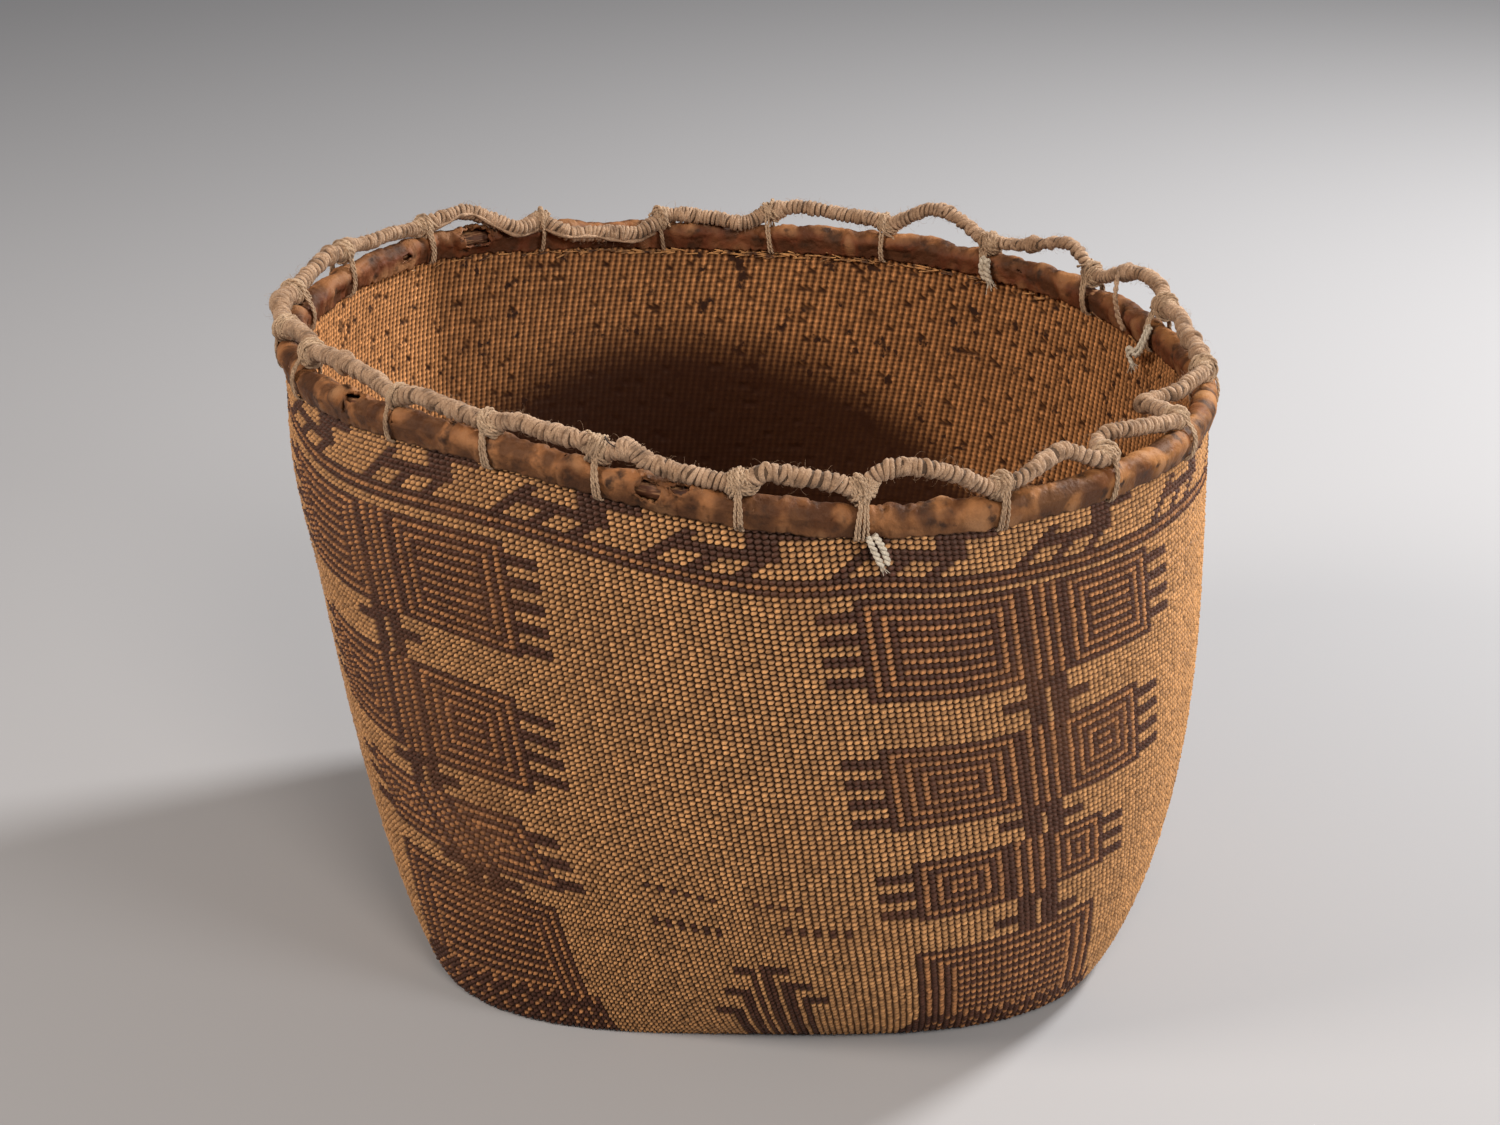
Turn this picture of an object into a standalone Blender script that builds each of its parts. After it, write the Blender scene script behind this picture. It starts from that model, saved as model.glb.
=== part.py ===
"""Twined storage basket with a hide-bound mouth and a scalloped cord lashed along its rim.

Metres, +Z up, the front of the basket towards -Y. The base rests on z = 0.
"""
import math

import bmesh
import bpy
from mathutils import Vector

# Mouth: the centre line of the hoop
RIM_RADIUS = 0.181
RIM_HEIGHT = 0.239
RIM_WAVE = 0.0079  # the left of the mouth stands this much above its middle, and the right below
# The mouth is a soft, lopsided oval, seen from above and from the side: each row is a lobe
# count with its cosine and sine share
rim_lobe_shares = (
    (1, 0.016, 0.058),
    (2, 0.013, -0.044),
    (3, -0.011, 0.002),
    (4, 0.004, 0.003),
)
rim_wave_shares = (
    (1, -1.00, -0.47),
    (2, -0.04, 0.09),
    (3, 0.13, 0.06),
    (4, -0.23, -0.15),
)

# Base: a square start with round corners, set a little to the right
BASE_WIDTH = 0.2756
BASE_DEPTH = 0.2522
BASE_SHIFT_X = 0.0088
base_squareness_share = 3.45

# Wall: how far its side stays full before it turns in to the base
WALL = 0.003
side_fullness_shares = (2.83, 1.16, -0.47)  # all round, then more to the right and the back
side_turn_shares = (1.77, 0.06, 0.42)
BELLY_RIGHT = 0.0017
WAIST_LEFT = 0.002  # the left of the wall stands this much in, half way up
SHOULDER_LEFT = 0.0021
shoulder_start_share = 0.6
row_height_shares = (0.0, 0.010, 0.035, 0.085, 0.17, 0.30, 0.48, 0.70, 0.87)
base_ring_shares = (0.4, 0.75)
CREASE_DEPTH = 0.004  # a sharp upright fold in the back left of the wall
crease_turn_share = 0.3745
crease_width_share = 0.028

# Rim parts
HOOP_ROD = 0.007
HOOP_JOINT = 0.001
HIDE = 0.001
HIDE_DROP = 0.0065  # how far the hide reaches below the hoop's centre line
CORD = 0.0075
LOOP_RISE = 0.0085
LOOP_LEAN = 0.002
STRING = 0.002
LASHING_WIDTH = 0.005  # two or three turns of string side by side
CLEARANCE = 0.0003
LASHING_PLAY = 0.00045  # between a lashing and what it goes round

# String ends that hang loose
TAIL_FRONT_LENGTH = 0.014
TAIL_FRONT_WIDTH = 0.004
TAIL_BACK_LENGTH = 0.013
TAIL_RIGHT_LENGTH = 0.015
TAIL_CURL = 0.004

# Places round the mouth, in degrees from +X towards +Y
lashing_angles = (
    -166.0, -142.1, -125.2, -108.4, -90.3, -76.1, -59.5, -43.5, -26.1, -5.2, 18.2,
    34.1, 53.0, 69.8, 86.5, 101.8, 119.0, 136.6, 154.0, 168.5, 181.0,
)
loop_rise_shares = (
    0.8, 0.75, 0.9, 0.7, 0.85, 0.8, 0.95, 1.0, 0.8, 0.7, 0.8,
    0.85, 1.0, 0.9, 0.7, 0.6, 0.45, 0.8, 0.7, 0.75, 0.85,
)
hide_joint_lashings = (7, 17, 1)
TAIL_FRONT_LASHING = 5
TAIL_BACK_LASHING = 12
TAIL_RIGHT_LASHING = 10

loop_steps = 6
hide_arc_steps = 6
lashing_steps = 4
tail_steps = 6
tube_smoothness = 2
tangent_turn = 0.01  # radians either side of a place, to read the rim's direction there

STRAW = (0.52, 0.33, 0.15)
WOOD = (0.16, 0.09, 0.05)
HIDE_BROWN = (0.36, 0.19, 0.09)
CORD_GREY = (0.46, 0.38, 0.28)
COTTON = (0.72, 0.65, 0.52)


def rim_point(angle):
    """A point on the hoop's centre line, at an angle in radians."""
    share = 1.0
    for count, cosine, sine in rim_lobe_shares:
        share += cosine * math.cos(count * angle) + sine * math.sin(count * angle)
    turn = math.radians(360.0 * crease_turn_share)
    width = math.radians(360.0 * crease_width_share)
    away = abs(math.remainder(angle - turn, math.tau))
    radius = RIM_RADIUS * share + CREASE_DEPTH * math.exp(-away / width)
    wave = 0.0
    for count, cosine, sine in rim_wave_shares:
        wave += cosine * math.cos(count * angle) + sine * math.sin(count * angle)
    height = RIM_HEIGHT + RIM_WAVE * wave
    return Vector((radius * math.cos(angle), radius * math.sin(angle), height))


def rim_frame(angle):
    """The hoop's centre, and the directions out of the mouth and along the hoop, level."""
    ahead = rim_point(angle + tangent_turn) - rim_point(angle - tangent_turn)
    along = Vector((ahead.x, ahead.y, 0.0)).normalized()
    return rim_point(angle), Vector((along.y, -along.x, 0.0)), along


def base_point(angle, share=1.0):
    """A point of the flat base, on the middle of its thickness: share 1 is its edge."""
    half = (BASE_WIDTH / 2, BASE_DEPTH / 2)
    power = base_squareness_share
    across = abs(math.cos(angle) / half[0]) ** power + abs(math.sin(angle) / half[1]) ** power
    radius = share * across ** (-1 / power)
    x = BASE_SHIFT_X + radius * math.cos(angle)
    return Vector((x, radius * math.sin(angle), WALL / 2))


def wall_point(angle, rise):
    """A point on the middle of the wall: rise 0 is the base's edge and 1 is the hoop."""
    top = rim_point(angle)
    foot = base_point(angle)
    right, back = math.cos(angle), math.sin(angle)
    whole, to_right, to_back = side_fullness_shares
    fullness = whole + to_right * right + to_back * back
    whole, to_right, to_back = side_turn_shares
    turn = whole + to_right * right + to_back * back
    out = (1 - (1 - rise) ** fullness) ** (1 / turn)
    point = foot.lerp(top, out)
    point.z = foot.z + rise * (top.z - foot.z)
    shoulder = max(0.0, (rise - shoulder_start_share) / (1 - shoulder_start_share))
    middle = math.sin(math.pi * rise) ** 2
    bulge = BELLY_RIGHT * max(0.0, right) ** 2 * middle
    bulge -= WAIST_LEFT * max(0.0, -right) ** 2 * middle
    bulge += SHOULDER_LEFT * max(0.0, -right) ** 2 * math.sin(math.pi * shoulder) ** 2
    return point + Vector((right, back, 0.0)) * bulge


def angle_span(length, angle):
    """The angle that a length along the hoop covers there."""
    chord = (rim_point(angle + tangent_turn) - rim_point(angle - tangent_turn)).length
    return length * 2 * tangent_turn / chord


# Stations round the mouth: both sides of each lashing's hole, and one between two lashings
HOLE_WIDTH = LASHING_WIDTH + 2 * CLEARANCE
LASHINGS = [math.radians(angle) for angle in lashing_angles]
STATIONS = []
HOLE_COLUMNS = set()
for number, here in enumerate(LASHINGS):
    after = LASHINGS[(number + 1) % len(LASHINGS)]
    gap = (after - here) % math.tau
    HOLE_COLUMNS.add(len(STATIONS))
    half_hole = angle_span(HOLE_WIDTH / 2, here)
    STATIONS += [here - half_hole, here + half_hole, here + gap / 2]

# Heights on the hoop's own scale, for the wall's top and for the holes of the lashings
WALL_TOP = -(HOOP_ROD / 2 + CLEARANCE)
HOLE_TOP = -HIDE_DROP
HOLE_BOTTOM = HOLE_TOP - STRING - 2 * LASHING_PLAY
LASHING_FOOT = HOLE_TOP - LASHING_PLAY - STRING / 2
HIDE_RADIUS = HOOP_ROD / 2 + CLEARANCE + HIDE
CORD_SEAT = HIDE_RADIUS + CLEARANCE + CORD / 2
# The cord runs level under each lashing, this far to either side
CORD_LEVEL = LASHING_WIDTH / 2 + CORD / 4

collection = bpy.data.collections.new("storage_basket")


def clear_scene():
    for item in list(bpy.data.objects):
        bpy.data.objects.remove(item, do_unlink=True)
    bpy.context.scene.collection.children.link(collection)


def finish(name, colour, roughness):
    material = bpy.data.materials.new(name)
    material.use_nodes = True
    shader = material.node_tree.nodes["Principled BSDF"]
    shader.inputs["Base Color"].default_value = (*colour, 1.0)
    shader.inputs["Roughness"].default_value = roughness
    shader.inputs["Metallic"].default_value = 0.0
    return material


def place(name, data, material):
    item = bpy.data.objects.new(name, data)
    data.materials.append(material)
    collection.objects.link(item)
    return item


def poly_curve(name, points, cyclic):
    """A curve through the points, with corners at each."""
    curve = bpy.data.curves.new(name, "CURVE")
    curve.dimensions = "3D"
    curve.twist_mode = "Z_UP"
    spline = curve.splines.new("POLY")
    spline.points.add(len(points) - 1)
    for target, point in zip(spline.points, points):
        target.co = (*point, 1.0)
    spline.use_cyclic_u = cyclic
    curve.use_fill_caps = True
    return curve


def add_tube(name, points, width, material, cyclic=False):
    curve = poly_curve(name, points, cyclic)
    curve.bevel_depth = width / 2
    curve.bevel_resolution = tube_smoothness
    return place(name, curve, material)


def add_woven_body(material):
    """Base and wall as one open sheet, holed for the lashings, then given its thickness."""
    mesh = bmesh.new()
    rings = []
    for share in base_ring_shares:
        rings.append([mesh.verts.new(base_point(angle, share)) for angle in STATIONS])
    for rise in row_height_shares:
        rings.append([mesh.verts.new(wall_point(angle, rise)) for angle in STATIONS])
    for height in (HOLE_BOTTOM, HOLE_TOP, WALL_TOP):
        ring = []
        for angle in STATIONS:
            top = rim_point(angle)
            rise = (top.z + height - WALL / 2) / (top.z - WALL / 2)
            ring.append(mesh.verts.new(wall_point(angle, rise)))
        rings.append(ring)
    hole_row = len(rings) - 3
    middle = mesh.verts.new(Vector((BASE_SHIFT_X, 0.0, WALL / 2)))
    count = len(STATIONS)
    for column in range(count):
        after = (column + 1) % count
        mesh.faces.new((middle, rings[0][after], rings[0][column]))
        for row in range(len(rings) - 1):
            if row == hole_row and column in HOLE_COLUMNS:
                continue
            low, high = rings[row], rings[row + 1]
            mesh.faces.new((low[column], low[after], high[after], high[column]))
    data = bpy.data.meshes.new("woven_body")
    mesh.to_mesh(data)
    mesh.free()
    item = place("woven_body", data, material)
    wall = item.modifiers.new("wall", "SOLIDIFY")
    wall.thickness = WALL
    wall.offset = 0.0
    wall.use_even_offset = True
    return item


def add_hoop(material):
    """One bent rod whose two ends meet inside the hide."""
    joint = LASHINGS[hide_joint_lashings[0]]
    half = angle_span(HOOP_JOINT / 2, joint)
    inner = [joint + (angle - joint) % math.tau for angle in STATIONS]
    angles = [joint + half] + sorted(inner) + [joint + math.tau - half]
    points = [rim_point(angle) for angle in angles]
    return add_tube("rim_hoop", points, HOOP_ROD, material)


def hide_section():
    """The folded hide seen end on: x is out of the mouth and y is up from the hoop's centre."""
    leg_in = WALL / 2 + CLEARANCE
    leg_out = leg_in + HIDE
    arc = []
    for step in range(hide_arc_steps + 1):
        turn = math.pi * (1 + step / hide_arc_steps)
        arc.append((-math.cos(turn), -math.sin(turn)))
    outer = [(x * HIDE_RADIUS, y * HIDE_RADIUS) for x, y in arc]
    inside = HIDE_RADIUS - HIDE
    # The flat sides of the fold are pushed out so that their middles clear the round rod
    push = inside / math.cos(math.pi / hide_arc_steps / 2)
    inner = [(x * push, y * push) for x, y in arc]
    right = [(leg_out, -HIDE_DROP)]
    left = [(-leg_out, -HIDE_DROP), (-leg_in, -HIDE_DROP)]
    return right + outer + left + inner[::-1] + [(leg_in, -HIDE_DROP)]


def add_hide_strip(name, start, end, material):
    """A strip of hide folded over the hoop, from one joint to the next."""
    half_start = angle_span(CLEARANCE / 2, start)
    half_end = angle_span(CLEARANCE / 2, end)
    span = (end - start) % math.tau
    inner = sorted(start + (angle - start) % math.tau for angle in STATIONS)
    angles = [start + half_start]
    angles += [angle for angle in inner if half_start < angle - start < span - half_end]
    angles.append(start + span - half_end)
    mesh = bmesh.new()
    section = hide_section()
    rings = []
    for angle in angles:
        centre, outward, _ = rim_frame(angle)
        ring = [mesh.verts.new(centre + outward * x + Vector((0, 0, y))) for x, y in section]
        rings.append(ring)
    count = len(section)
    for first, second in zip(rings, rings[1:]):
        for side in range(count):
            after = (side + 1) % count
            mesh.faces.new((first[side], second[side], second[after], first[after]))
    mesh.faces.new(rings[0])
    mesh.faces.new(rings[-1][::-1])
    bmesh.ops.recalc_face_normals(mesh, faces=mesh.faces)
    bmesh.ops.triangulate(mesh, faces=mesh.faces)
    data = bpy.data.meshes.new(name)
    mesh.to_mesh(data)
    mesh.free()
    return place(name, data, material)


def add_loop_cord(material):
    """The wrapped cord: it lies level under each lashing and arches up between two."""
    points = []
    for number, here in enumerate(LASHINGS):
        gap = (LASHINGS[(number + 1) % len(LASHINGS)] - here) % math.tau
        level = angle_span(CORD_LEVEL, here)
        for step in range(loop_steps + 1):
            share = step / loop_steps
            wave = math.sin(math.pi * share)
            rise = LOOP_RISE * loop_rise_shares[number] * wave
            centre, outward, _ = rim_frame(here + level + (gap - 2 * level) * share)
            lean = LOOP_LEAN * wave * math.sin(number)
            points.append(centre + outward * lean + Vector((0, 0, CORD_SEAT + rise)))
    return add_tube("loop_cord", points, CORD, material, cyclic=True)


def lashing_path():
    """The middle of the string's loop, seen along the hoop."""
    room = LASHING_PLAY + STRING / 2
    dip = math.pi / 6
    low = (HIDE_RADIUS + room) / math.cos(dip / 2)
    high = (CORD / 2 + room) / math.cos(math.pi / lashing_steps / 2)
    foot = WALL / 2 + CLEARANCE + HIDE + CLEARANCE + room
    right = [(foot, LASHING_FOOT), (low * math.cos(dip), -low * math.sin(dip)), (low, CLEARANCE)]
    top = []
    for step in range(lashing_steps + 1):
        turn = math.pi * step / lashing_steps
        top.append((high * math.cos(turn), CORD_SEAT + high * math.sin(turn)))
    left = [(-x, y) for x, y in right[::-1]]
    return right + top + left


def add_lashing(number, material):
    """A flat band of string turns round the hide and the cord, through the wall's hole."""
    angle = LASHINGS[number]
    centre, outward, along = rim_frame(angle)
    name = f"lashing_{number + 1:02d}"
    path = lashing_path()
    mesh = bmesh.new()
    half = STRING / 2
    corners = ((1, -1), (1, 1), (-1, 1), (-1, -1))
    sharpest = math.cos(math.pi / 3)
    count = len(path)
    rings = []
    for index, (x, y) in enumerate(path):
        before, after = path[index - 1], path[(index + 1) % count]
        into = Vector((x - before[0], y - before[1])).normalized()
        out = Vector((after[0] - x, after[1] - y)).normalized()
        middle = (into + out).normalized()
        mitre = half / max(middle.dot(into), sharpest)
        ring = []
        for side, edge in corners:
            across = x + middle.y * mitre * side
            up = y - middle.x * mitre * side
            spot = centre + outward * across + Vector((0, 0, up)) + along * (edge * LASHING_WIDTH / 2)
            ring.append(mesh.verts.new(spot))
        rings.append(ring)
    for index in range(count):
        first, second = rings[index], rings[(index + 1) % count]
        for side in range(len(corners)):
            after = (side + 1) % len(corners)
            mesh.faces.new((first[side], first[after], second[after], second[side]))
    bmesh.ops.recalc_face_normals(mesh, faces=mesh.faces)
    data = bpy.data.meshes.new(name)
    mesh.to_mesh(data)
    mesh.free()
    return place(name, data, material)


def add_tail(name, lashing, side, length, width, material):
    """A loose string end: side is 1 outside the basket and -1 inside it."""
    centre, outward, along = rim_frame(LASHINGS[lashing])
    reach = WALL / 2 + CLEARANCE + width / 2
    top = LASHING_FOOT - STRING / 2 - CLEARANCE
    points = []
    for step in range(tail_steps + 1):
        share = step / tail_steps
        drift = TAIL_CURL * share * share
        away = reach + drift * (1 - share / 2)
        spot = outward * (side * away) + along * drift
        points.append(centre + spot + Vector((0, 0, top - length * share)))
    return add_tube(name, points, width, material)


def centre_on_origin():
    """Moves every piece alike, so that the part's box is centred over the origin."""
    bpy.context.view_layer.update()
    graph = bpy.context.evaluated_depsgraph_get()
    low = Vector((math.inf, math.inf))
    high = -low
    for item in collection.objects:
        solid = item.evaluated_get(graph)
        for corner in solid.bound_box:
            for axis in range(2):
                low[axis] = min(low[axis], corner[axis])
                high[axis] = max(high[axis], corner[axis])
    middle = (low + high) / 2
    for item in collection.objects:
        item.location = (-middle.x, -middle.y, 0.0)
    print("centred by", [round(value, 6) for value in middle])


def build():
    clear_scene()
    straw = finish("straw", STRAW, 0.7)
    wood = finish("wood", WOOD, 0.75)
    hide = finish("hide", HIDE_BROWN, 0.55)
    cord = finish("wrapped_cord", CORD_GREY, 0.9)
    string = finish("string", CORD_GREY, 0.9)
    cotton = finish("cotton", COTTON, 0.9)
    add_woven_body(straw)
    add_hoop(wood)
    joints = [LASHINGS[number] for number in hide_joint_lashings]
    for number, start in enumerate(joints):
        end = joints[(number + 1) % len(joints)]
        add_hide_strip(f"hide_strip_{number + 1:02d}", start, end, hide)
    add_loop_cord(cord)
    for number in range(len(LASHINGS)):
        add_lashing(number, string)
    add_tail("tail_front", TAIL_FRONT_LASHING, 1, TAIL_FRONT_LENGTH, TAIL_FRONT_WIDTH, cotton)
    add_tail("tail_back", TAIL_BACK_LASHING, -1, TAIL_BACK_LENGTH, STRING, cotton)
    add_tail("tail_right", TAIL_RIGHT_LASHING, -1, TAIL_RIGHT_LENGTH, STRING, cotton)
    centre_on_origin()


build()
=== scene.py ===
# %% [markdown]
# # A twined storage basket
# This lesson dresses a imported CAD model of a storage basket. The real one is woven from straw round
# upright rods, in rows of small slanting stitches, with a dark pattern that is worked stitch by
# stitch. Its mouth is stiffened by a bent rod, a strip of hide is folded over the rod, and a
# scalloped wrapped cord is lashed on top with string. We load the CAD first, because every piece
# below has to sit exactly where the CAD says.

# %% Load the CAD frame
import math

import bmesh
import bpy
import numpy as np
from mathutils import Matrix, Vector, noise


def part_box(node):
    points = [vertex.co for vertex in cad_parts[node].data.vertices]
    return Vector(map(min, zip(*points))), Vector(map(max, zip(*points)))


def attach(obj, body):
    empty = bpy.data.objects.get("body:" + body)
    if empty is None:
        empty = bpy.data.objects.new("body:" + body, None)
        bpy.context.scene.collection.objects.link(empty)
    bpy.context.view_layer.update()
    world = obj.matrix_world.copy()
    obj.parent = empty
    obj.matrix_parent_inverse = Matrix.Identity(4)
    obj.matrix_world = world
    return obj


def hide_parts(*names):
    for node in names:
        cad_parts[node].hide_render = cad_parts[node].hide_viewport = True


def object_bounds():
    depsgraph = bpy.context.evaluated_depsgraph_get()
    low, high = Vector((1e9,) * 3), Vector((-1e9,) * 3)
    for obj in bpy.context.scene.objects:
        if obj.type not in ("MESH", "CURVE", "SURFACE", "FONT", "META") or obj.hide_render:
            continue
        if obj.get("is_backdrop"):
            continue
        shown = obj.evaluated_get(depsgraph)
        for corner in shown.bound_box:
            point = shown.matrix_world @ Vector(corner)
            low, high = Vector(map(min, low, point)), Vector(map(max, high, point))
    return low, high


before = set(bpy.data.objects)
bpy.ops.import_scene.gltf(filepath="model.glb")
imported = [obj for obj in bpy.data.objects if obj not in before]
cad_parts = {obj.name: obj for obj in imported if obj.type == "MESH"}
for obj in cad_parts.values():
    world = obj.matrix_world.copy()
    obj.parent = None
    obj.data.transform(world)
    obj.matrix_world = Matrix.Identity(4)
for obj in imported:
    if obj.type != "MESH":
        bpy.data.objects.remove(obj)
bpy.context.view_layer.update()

# %% [markdown]
# ## The camera
# The camera comes first, so that each piece can be judged from the photograph's own angle. The
# basket was photographed from a little above, 1.25 m away, with a long lens, so the mouth shows as
# a flat oval. The CAD part was centred on its box, so `MIDDLE` says where the centre of the
# basket's round plan lies in that frame.

# %% Camera
MIDDLE = Vector((-0.000226, -0.007954, 0.0))
CAMERA_AIM = Vector((0.0025, -0.018, 0.1564)) + MIDDLE
CAMERA_DISTANCE = 1.25
CAMERA_TILT = math.radians(23.0)
scene = bpy.context.scene
camera_data = bpy.data.cameras.new("camera")
camera_data.lens = 73.2
camera_data.sensor_width = 36.0
camera_data.clip_start = 0.05
camera_data.clip_end = 60.0
camera = bpy.data.objects.new("camera", camera_data)
scene.collection.objects.link(camera)
camera_side = Vector((0, -math.cos(CAMERA_TILT), math.sin(CAMERA_TILT)))
camera.location = CAMERA_AIM + CAMERA_DISTANCE * camera_side
camera.rotation_euler = (math.pi / 2 - CAMERA_TILT, 0.0, 0.0)
scene.camera = camera
print("camera at", [round(v, 3) for v in camera.location])

# %% [markdown]
# ## Three small curves
# Nearly all that follows is shaped by three curves, so they get names. `short_way` turns any angle
# into the shorter way round, to the left or the right. `bell` is 1 in one place and fades away on
# both sides, for dents and bulges. `ease` rises softly from 0 to 1, for anything that starts or
# stops. All three take whole arrays, because the weave has many thousand points.

# %% Curves for shaping


def short_way(turn):
    return (turn + math.pi) % math.tau - math.pi


def bell(distance, width):
    return np.exp(-((distance / width) ** 2))


def ease(value):
    value = np.clip(value, 0.0, 1.0)
    return value * value * (3 - 2 * value)


print("270 degrees is the short way", round(math.degrees(short_way(math.radians(270.0)))), "degrees")

# %% [markdown]
# ## The mouth and the base
# The mouth is a lopsided oval that also rises and falls, with a sharp crease at the back left. The
# base is a square with round corners. A maker shapes both by hand as the work grows. We write them
# as functions of the angle round the basket, with the same numbers as the CAD. An oval that isn't
# even is a circle plus a few waves, and each row of `rim_lobes` and `rim_waves` is one: how many
# times it comes round, and how much of its cosine and sine is added.

# %% Mouth and base as functions
RIM_RADIUS = 0.181
RIM_HEIGHT = 0.239
RIM_WAVE = 0.0079
WALL = 0.003
rim_lobes = ((1, 0.016, 0.058), (2, 0.013, -0.044), (3, -0.011, 0.002), (4, 0.004, 0.003))
rim_waves = ((1, -1.00, -0.47), (2, -0.04, 0.09), (3, 0.13, 0.06), (4, -0.23, -0.15))
CREASE_DEPTH = 0.004
crease_turn = math.tau * 0.3745
crease_width = math.tau * 0.028
BASE_HALF_X = 0.1378
BASE_HALF_Y = 0.1261
BASE_SHIFT_X = 0.0088
BASE_SQUARENESS = 3.45
plan_middle = np.array(MIDDLE)


def rim_points(angle):
    """Points on the hoop's centre line, for an array of angles in radians."""
    share = 1.0
    wave = 0.0
    for count, cosine, sine in rim_lobes:
        share = share + cosine * np.cos(count * angle) + sine * np.sin(count * angle)
    for count, cosine, sine in rim_waves:
        wave = wave + cosine * np.cos(count * angle) + sine * np.sin(count * angle)
    away = np.abs(short_way(angle - crease_turn))
    radius = RIM_RADIUS * share + CREASE_DEPTH * np.exp(-away / crease_width)
    height = RIM_HEIGHT + RIM_WAVE * wave
    return np.stack([radius * np.cos(angle), radius * np.sin(angle), height], -1)


def base_points(angle, share=1.0):
    """Points of the base, on the middle of its thickness: share 1 is its edge."""
    over_x = np.abs(np.cos(angle) / BASE_HALF_X) ** BASE_SQUARENESS
    over_y = np.abs(np.sin(angle) / BASE_HALF_Y) ** BASE_SQUARENESS
    radius = share * (over_x + over_y) ** (-1 / BASE_SQUARENESS)
    x = BASE_SHIFT_X + radius * np.cos(angle)
    return np.stack([x, radius * np.sin(angle), np.full_like(x, WALL / 2)], -1)


ring = rim_points(np.linspace(-math.pi, math.pi, 720)) + plan_middle
hoop_low, hoop_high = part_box("rim_hoop")
print("mouth in mm:", np.round((ring.max(0) - ring.min(0)) * 1000, 1))
print("the CAD hoop's width in mm:", round((hoop_high - hoop_low).x * 1000, 1))

# %% [markdown]
# ## The wall between them
# The side leaves the base steeply and stays full nearly up to the rim. Straight lines from base to
# mouth would give a bucket, so `wall_points` bends each line outwards. Its fullness differs all
# round: the three numbers of a row are the value itself and what the right side and the back add.
# Then the right gets a small belly, and the left a waist and a shoulder.

# %% The wall as a function
side_fullness = (2.83, 1.16, -0.47)
side_turn = (1.77, 0.06, 0.42)
BELLY_RIGHT = 0.0017
WAIST_LEFT = 0.0020
SHOULDER_LEFT = 0.0021
SHOULDER_START = 0.6


def wall_points(angle, rise):
    """Points on the middle of the wall: rise 0 is the base's edge and 1 is the hoop."""
    top = rim_points(angle)
    foot = base_points(angle)
    right = np.cos(angle)
    back = np.sin(angle)
    fullness = side_fullness[0] + side_fullness[1] * right + side_fullness[2] * back
    turn = side_turn[0] + side_turn[1] * right + side_turn[2] * back
    out = (1 - (1 - rise) ** fullness) ** (1 / turn)
    point = foot + (top - foot) * out[..., None]
    point[..., 2] = foot[..., 2] + rise * (top[..., 2] - foot[..., 2])
    middle = np.sin(math.pi * rise) ** 2
    shoulder = np.sin(math.pi * np.maximum(0, (rise - SHOULDER_START) / (1 - SHOULDER_START))) ** 2
    bulge = BELLY_RIGHT * np.maximum(0, right) ** 2 * middle
    bulge = bulge - WAIST_LEFT * np.maximum(0, -right) ** 2 * middle
    bulge = bulge + SHOULDER_LEFT * np.maximum(0, -right) ** 2 * shoulder
    point[..., 0] += right * bulge
    point[..., 1] += back * bulge
    return point


half_way = wall_points(np.array([0.0, math.pi]), np.array([0.5, 0.5]))
print("width half way up in mm:", round((half_way[0, 0] - half_way[1, 0]) * 1000, 1))

# %% [markdown]
# ## Tools for the bench
# Three helpers keep the later cells short. `deselect` clears the selection, because an operator
# works on everything that is selected. `keep` hands a finished piece to the frame: it rides on the
# only body, takes a material, and may stand in for a CAD node. `string_mesh` draws curves with a
# round bevel and converts them to a mesh, which is how a maker of ropes and threads works in
# Blender: the path first, the thickness second.

# %% Helpers


def deselect():
    bpy.ops.object.select_all(action="DESELECT")


def keep(item, material, slot, *nodes):
    """Gives a finished piece its material and its place in the frame."""
    item.data.materials.clear()
    item.data.materials.append(material)
    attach(item, "root")
    if nodes:
        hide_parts(*nodes)
    item.data.calc_loop_triangles()
    print(item.name, len(item.data.loop_triangles), "triangles")
    return item


def string_mesh(name, paths, closed=False, resolution=1):
    """One mesh of round strings. Each path is an array of points and one of radii."""
    curve = bpy.data.curves.new(name, "CURVE")
    curve.dimensions = "3D"
    curve.bevel_depth = 1.0
    curve.bevel_resolution = resolution
    curve.use_fill_caps = True
    for points, radii in paths:
        points = np.asarray(points, float)
        spline = curve.splines.new("POLY")
        spline.points.add(len(points) - 1)
        four = np.concatenate([points, np.ones((len(points), 1))], 1)
        spline.points.foreach_set("co", four.ravel())
        spline.points.foreach_set("radius", np.broadcast_to(radii, len(points)).astype(float))
        spline.use_cyclic_u = closed
    item = bpy.data.objects.new(name, curve)
    scene.collection.objects.link(item)
    deselect()
    item.select_set(True)
    bpy.context.view_layer.objects.active = item
    bpy.ops.object.convert(target="MESH")
    bpy.ops.object.shade_smooth()
    return bpy.context.view_layer.objects.active


# %% [markdown]
# ## Writing materials in code
# A material is a tree of nodes, and by hand one would drag wires between them. In code the same
# few moves come again and again, so each gets a short name: put in a node, mix two colours, do a
# sum, stretch a range of values to 0 and 1, or take noise. The noise reads Object coordinates, so
# it sticks to the piece. `feed` fills a socket with a plain value or with a wire.

# %% Node helpers


def feed(tree, socket, value):
    if isinstance(value, bpy.types.NodeSocket):
        tree.links.new(value, socket)
    else:
        socket.default_value = value


def add_node(tree, kind, values, **settings):
    """A node with its settings made and its inputs fed, by name or by number."""
    made = tree.nodes.new(kind)
    for name, value in settings.items():
        setattr(made, name, value)
    for name, value in values.items():
        feed(tree, made.inputs[name], value)
    return made


def mix_colour(tree, share, first, second):
    values = {0: share, 6: first, 7: second}
    return add_node(tree, "ShaderNodeMix", values, data_type="RGBA").outputs[2]


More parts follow.
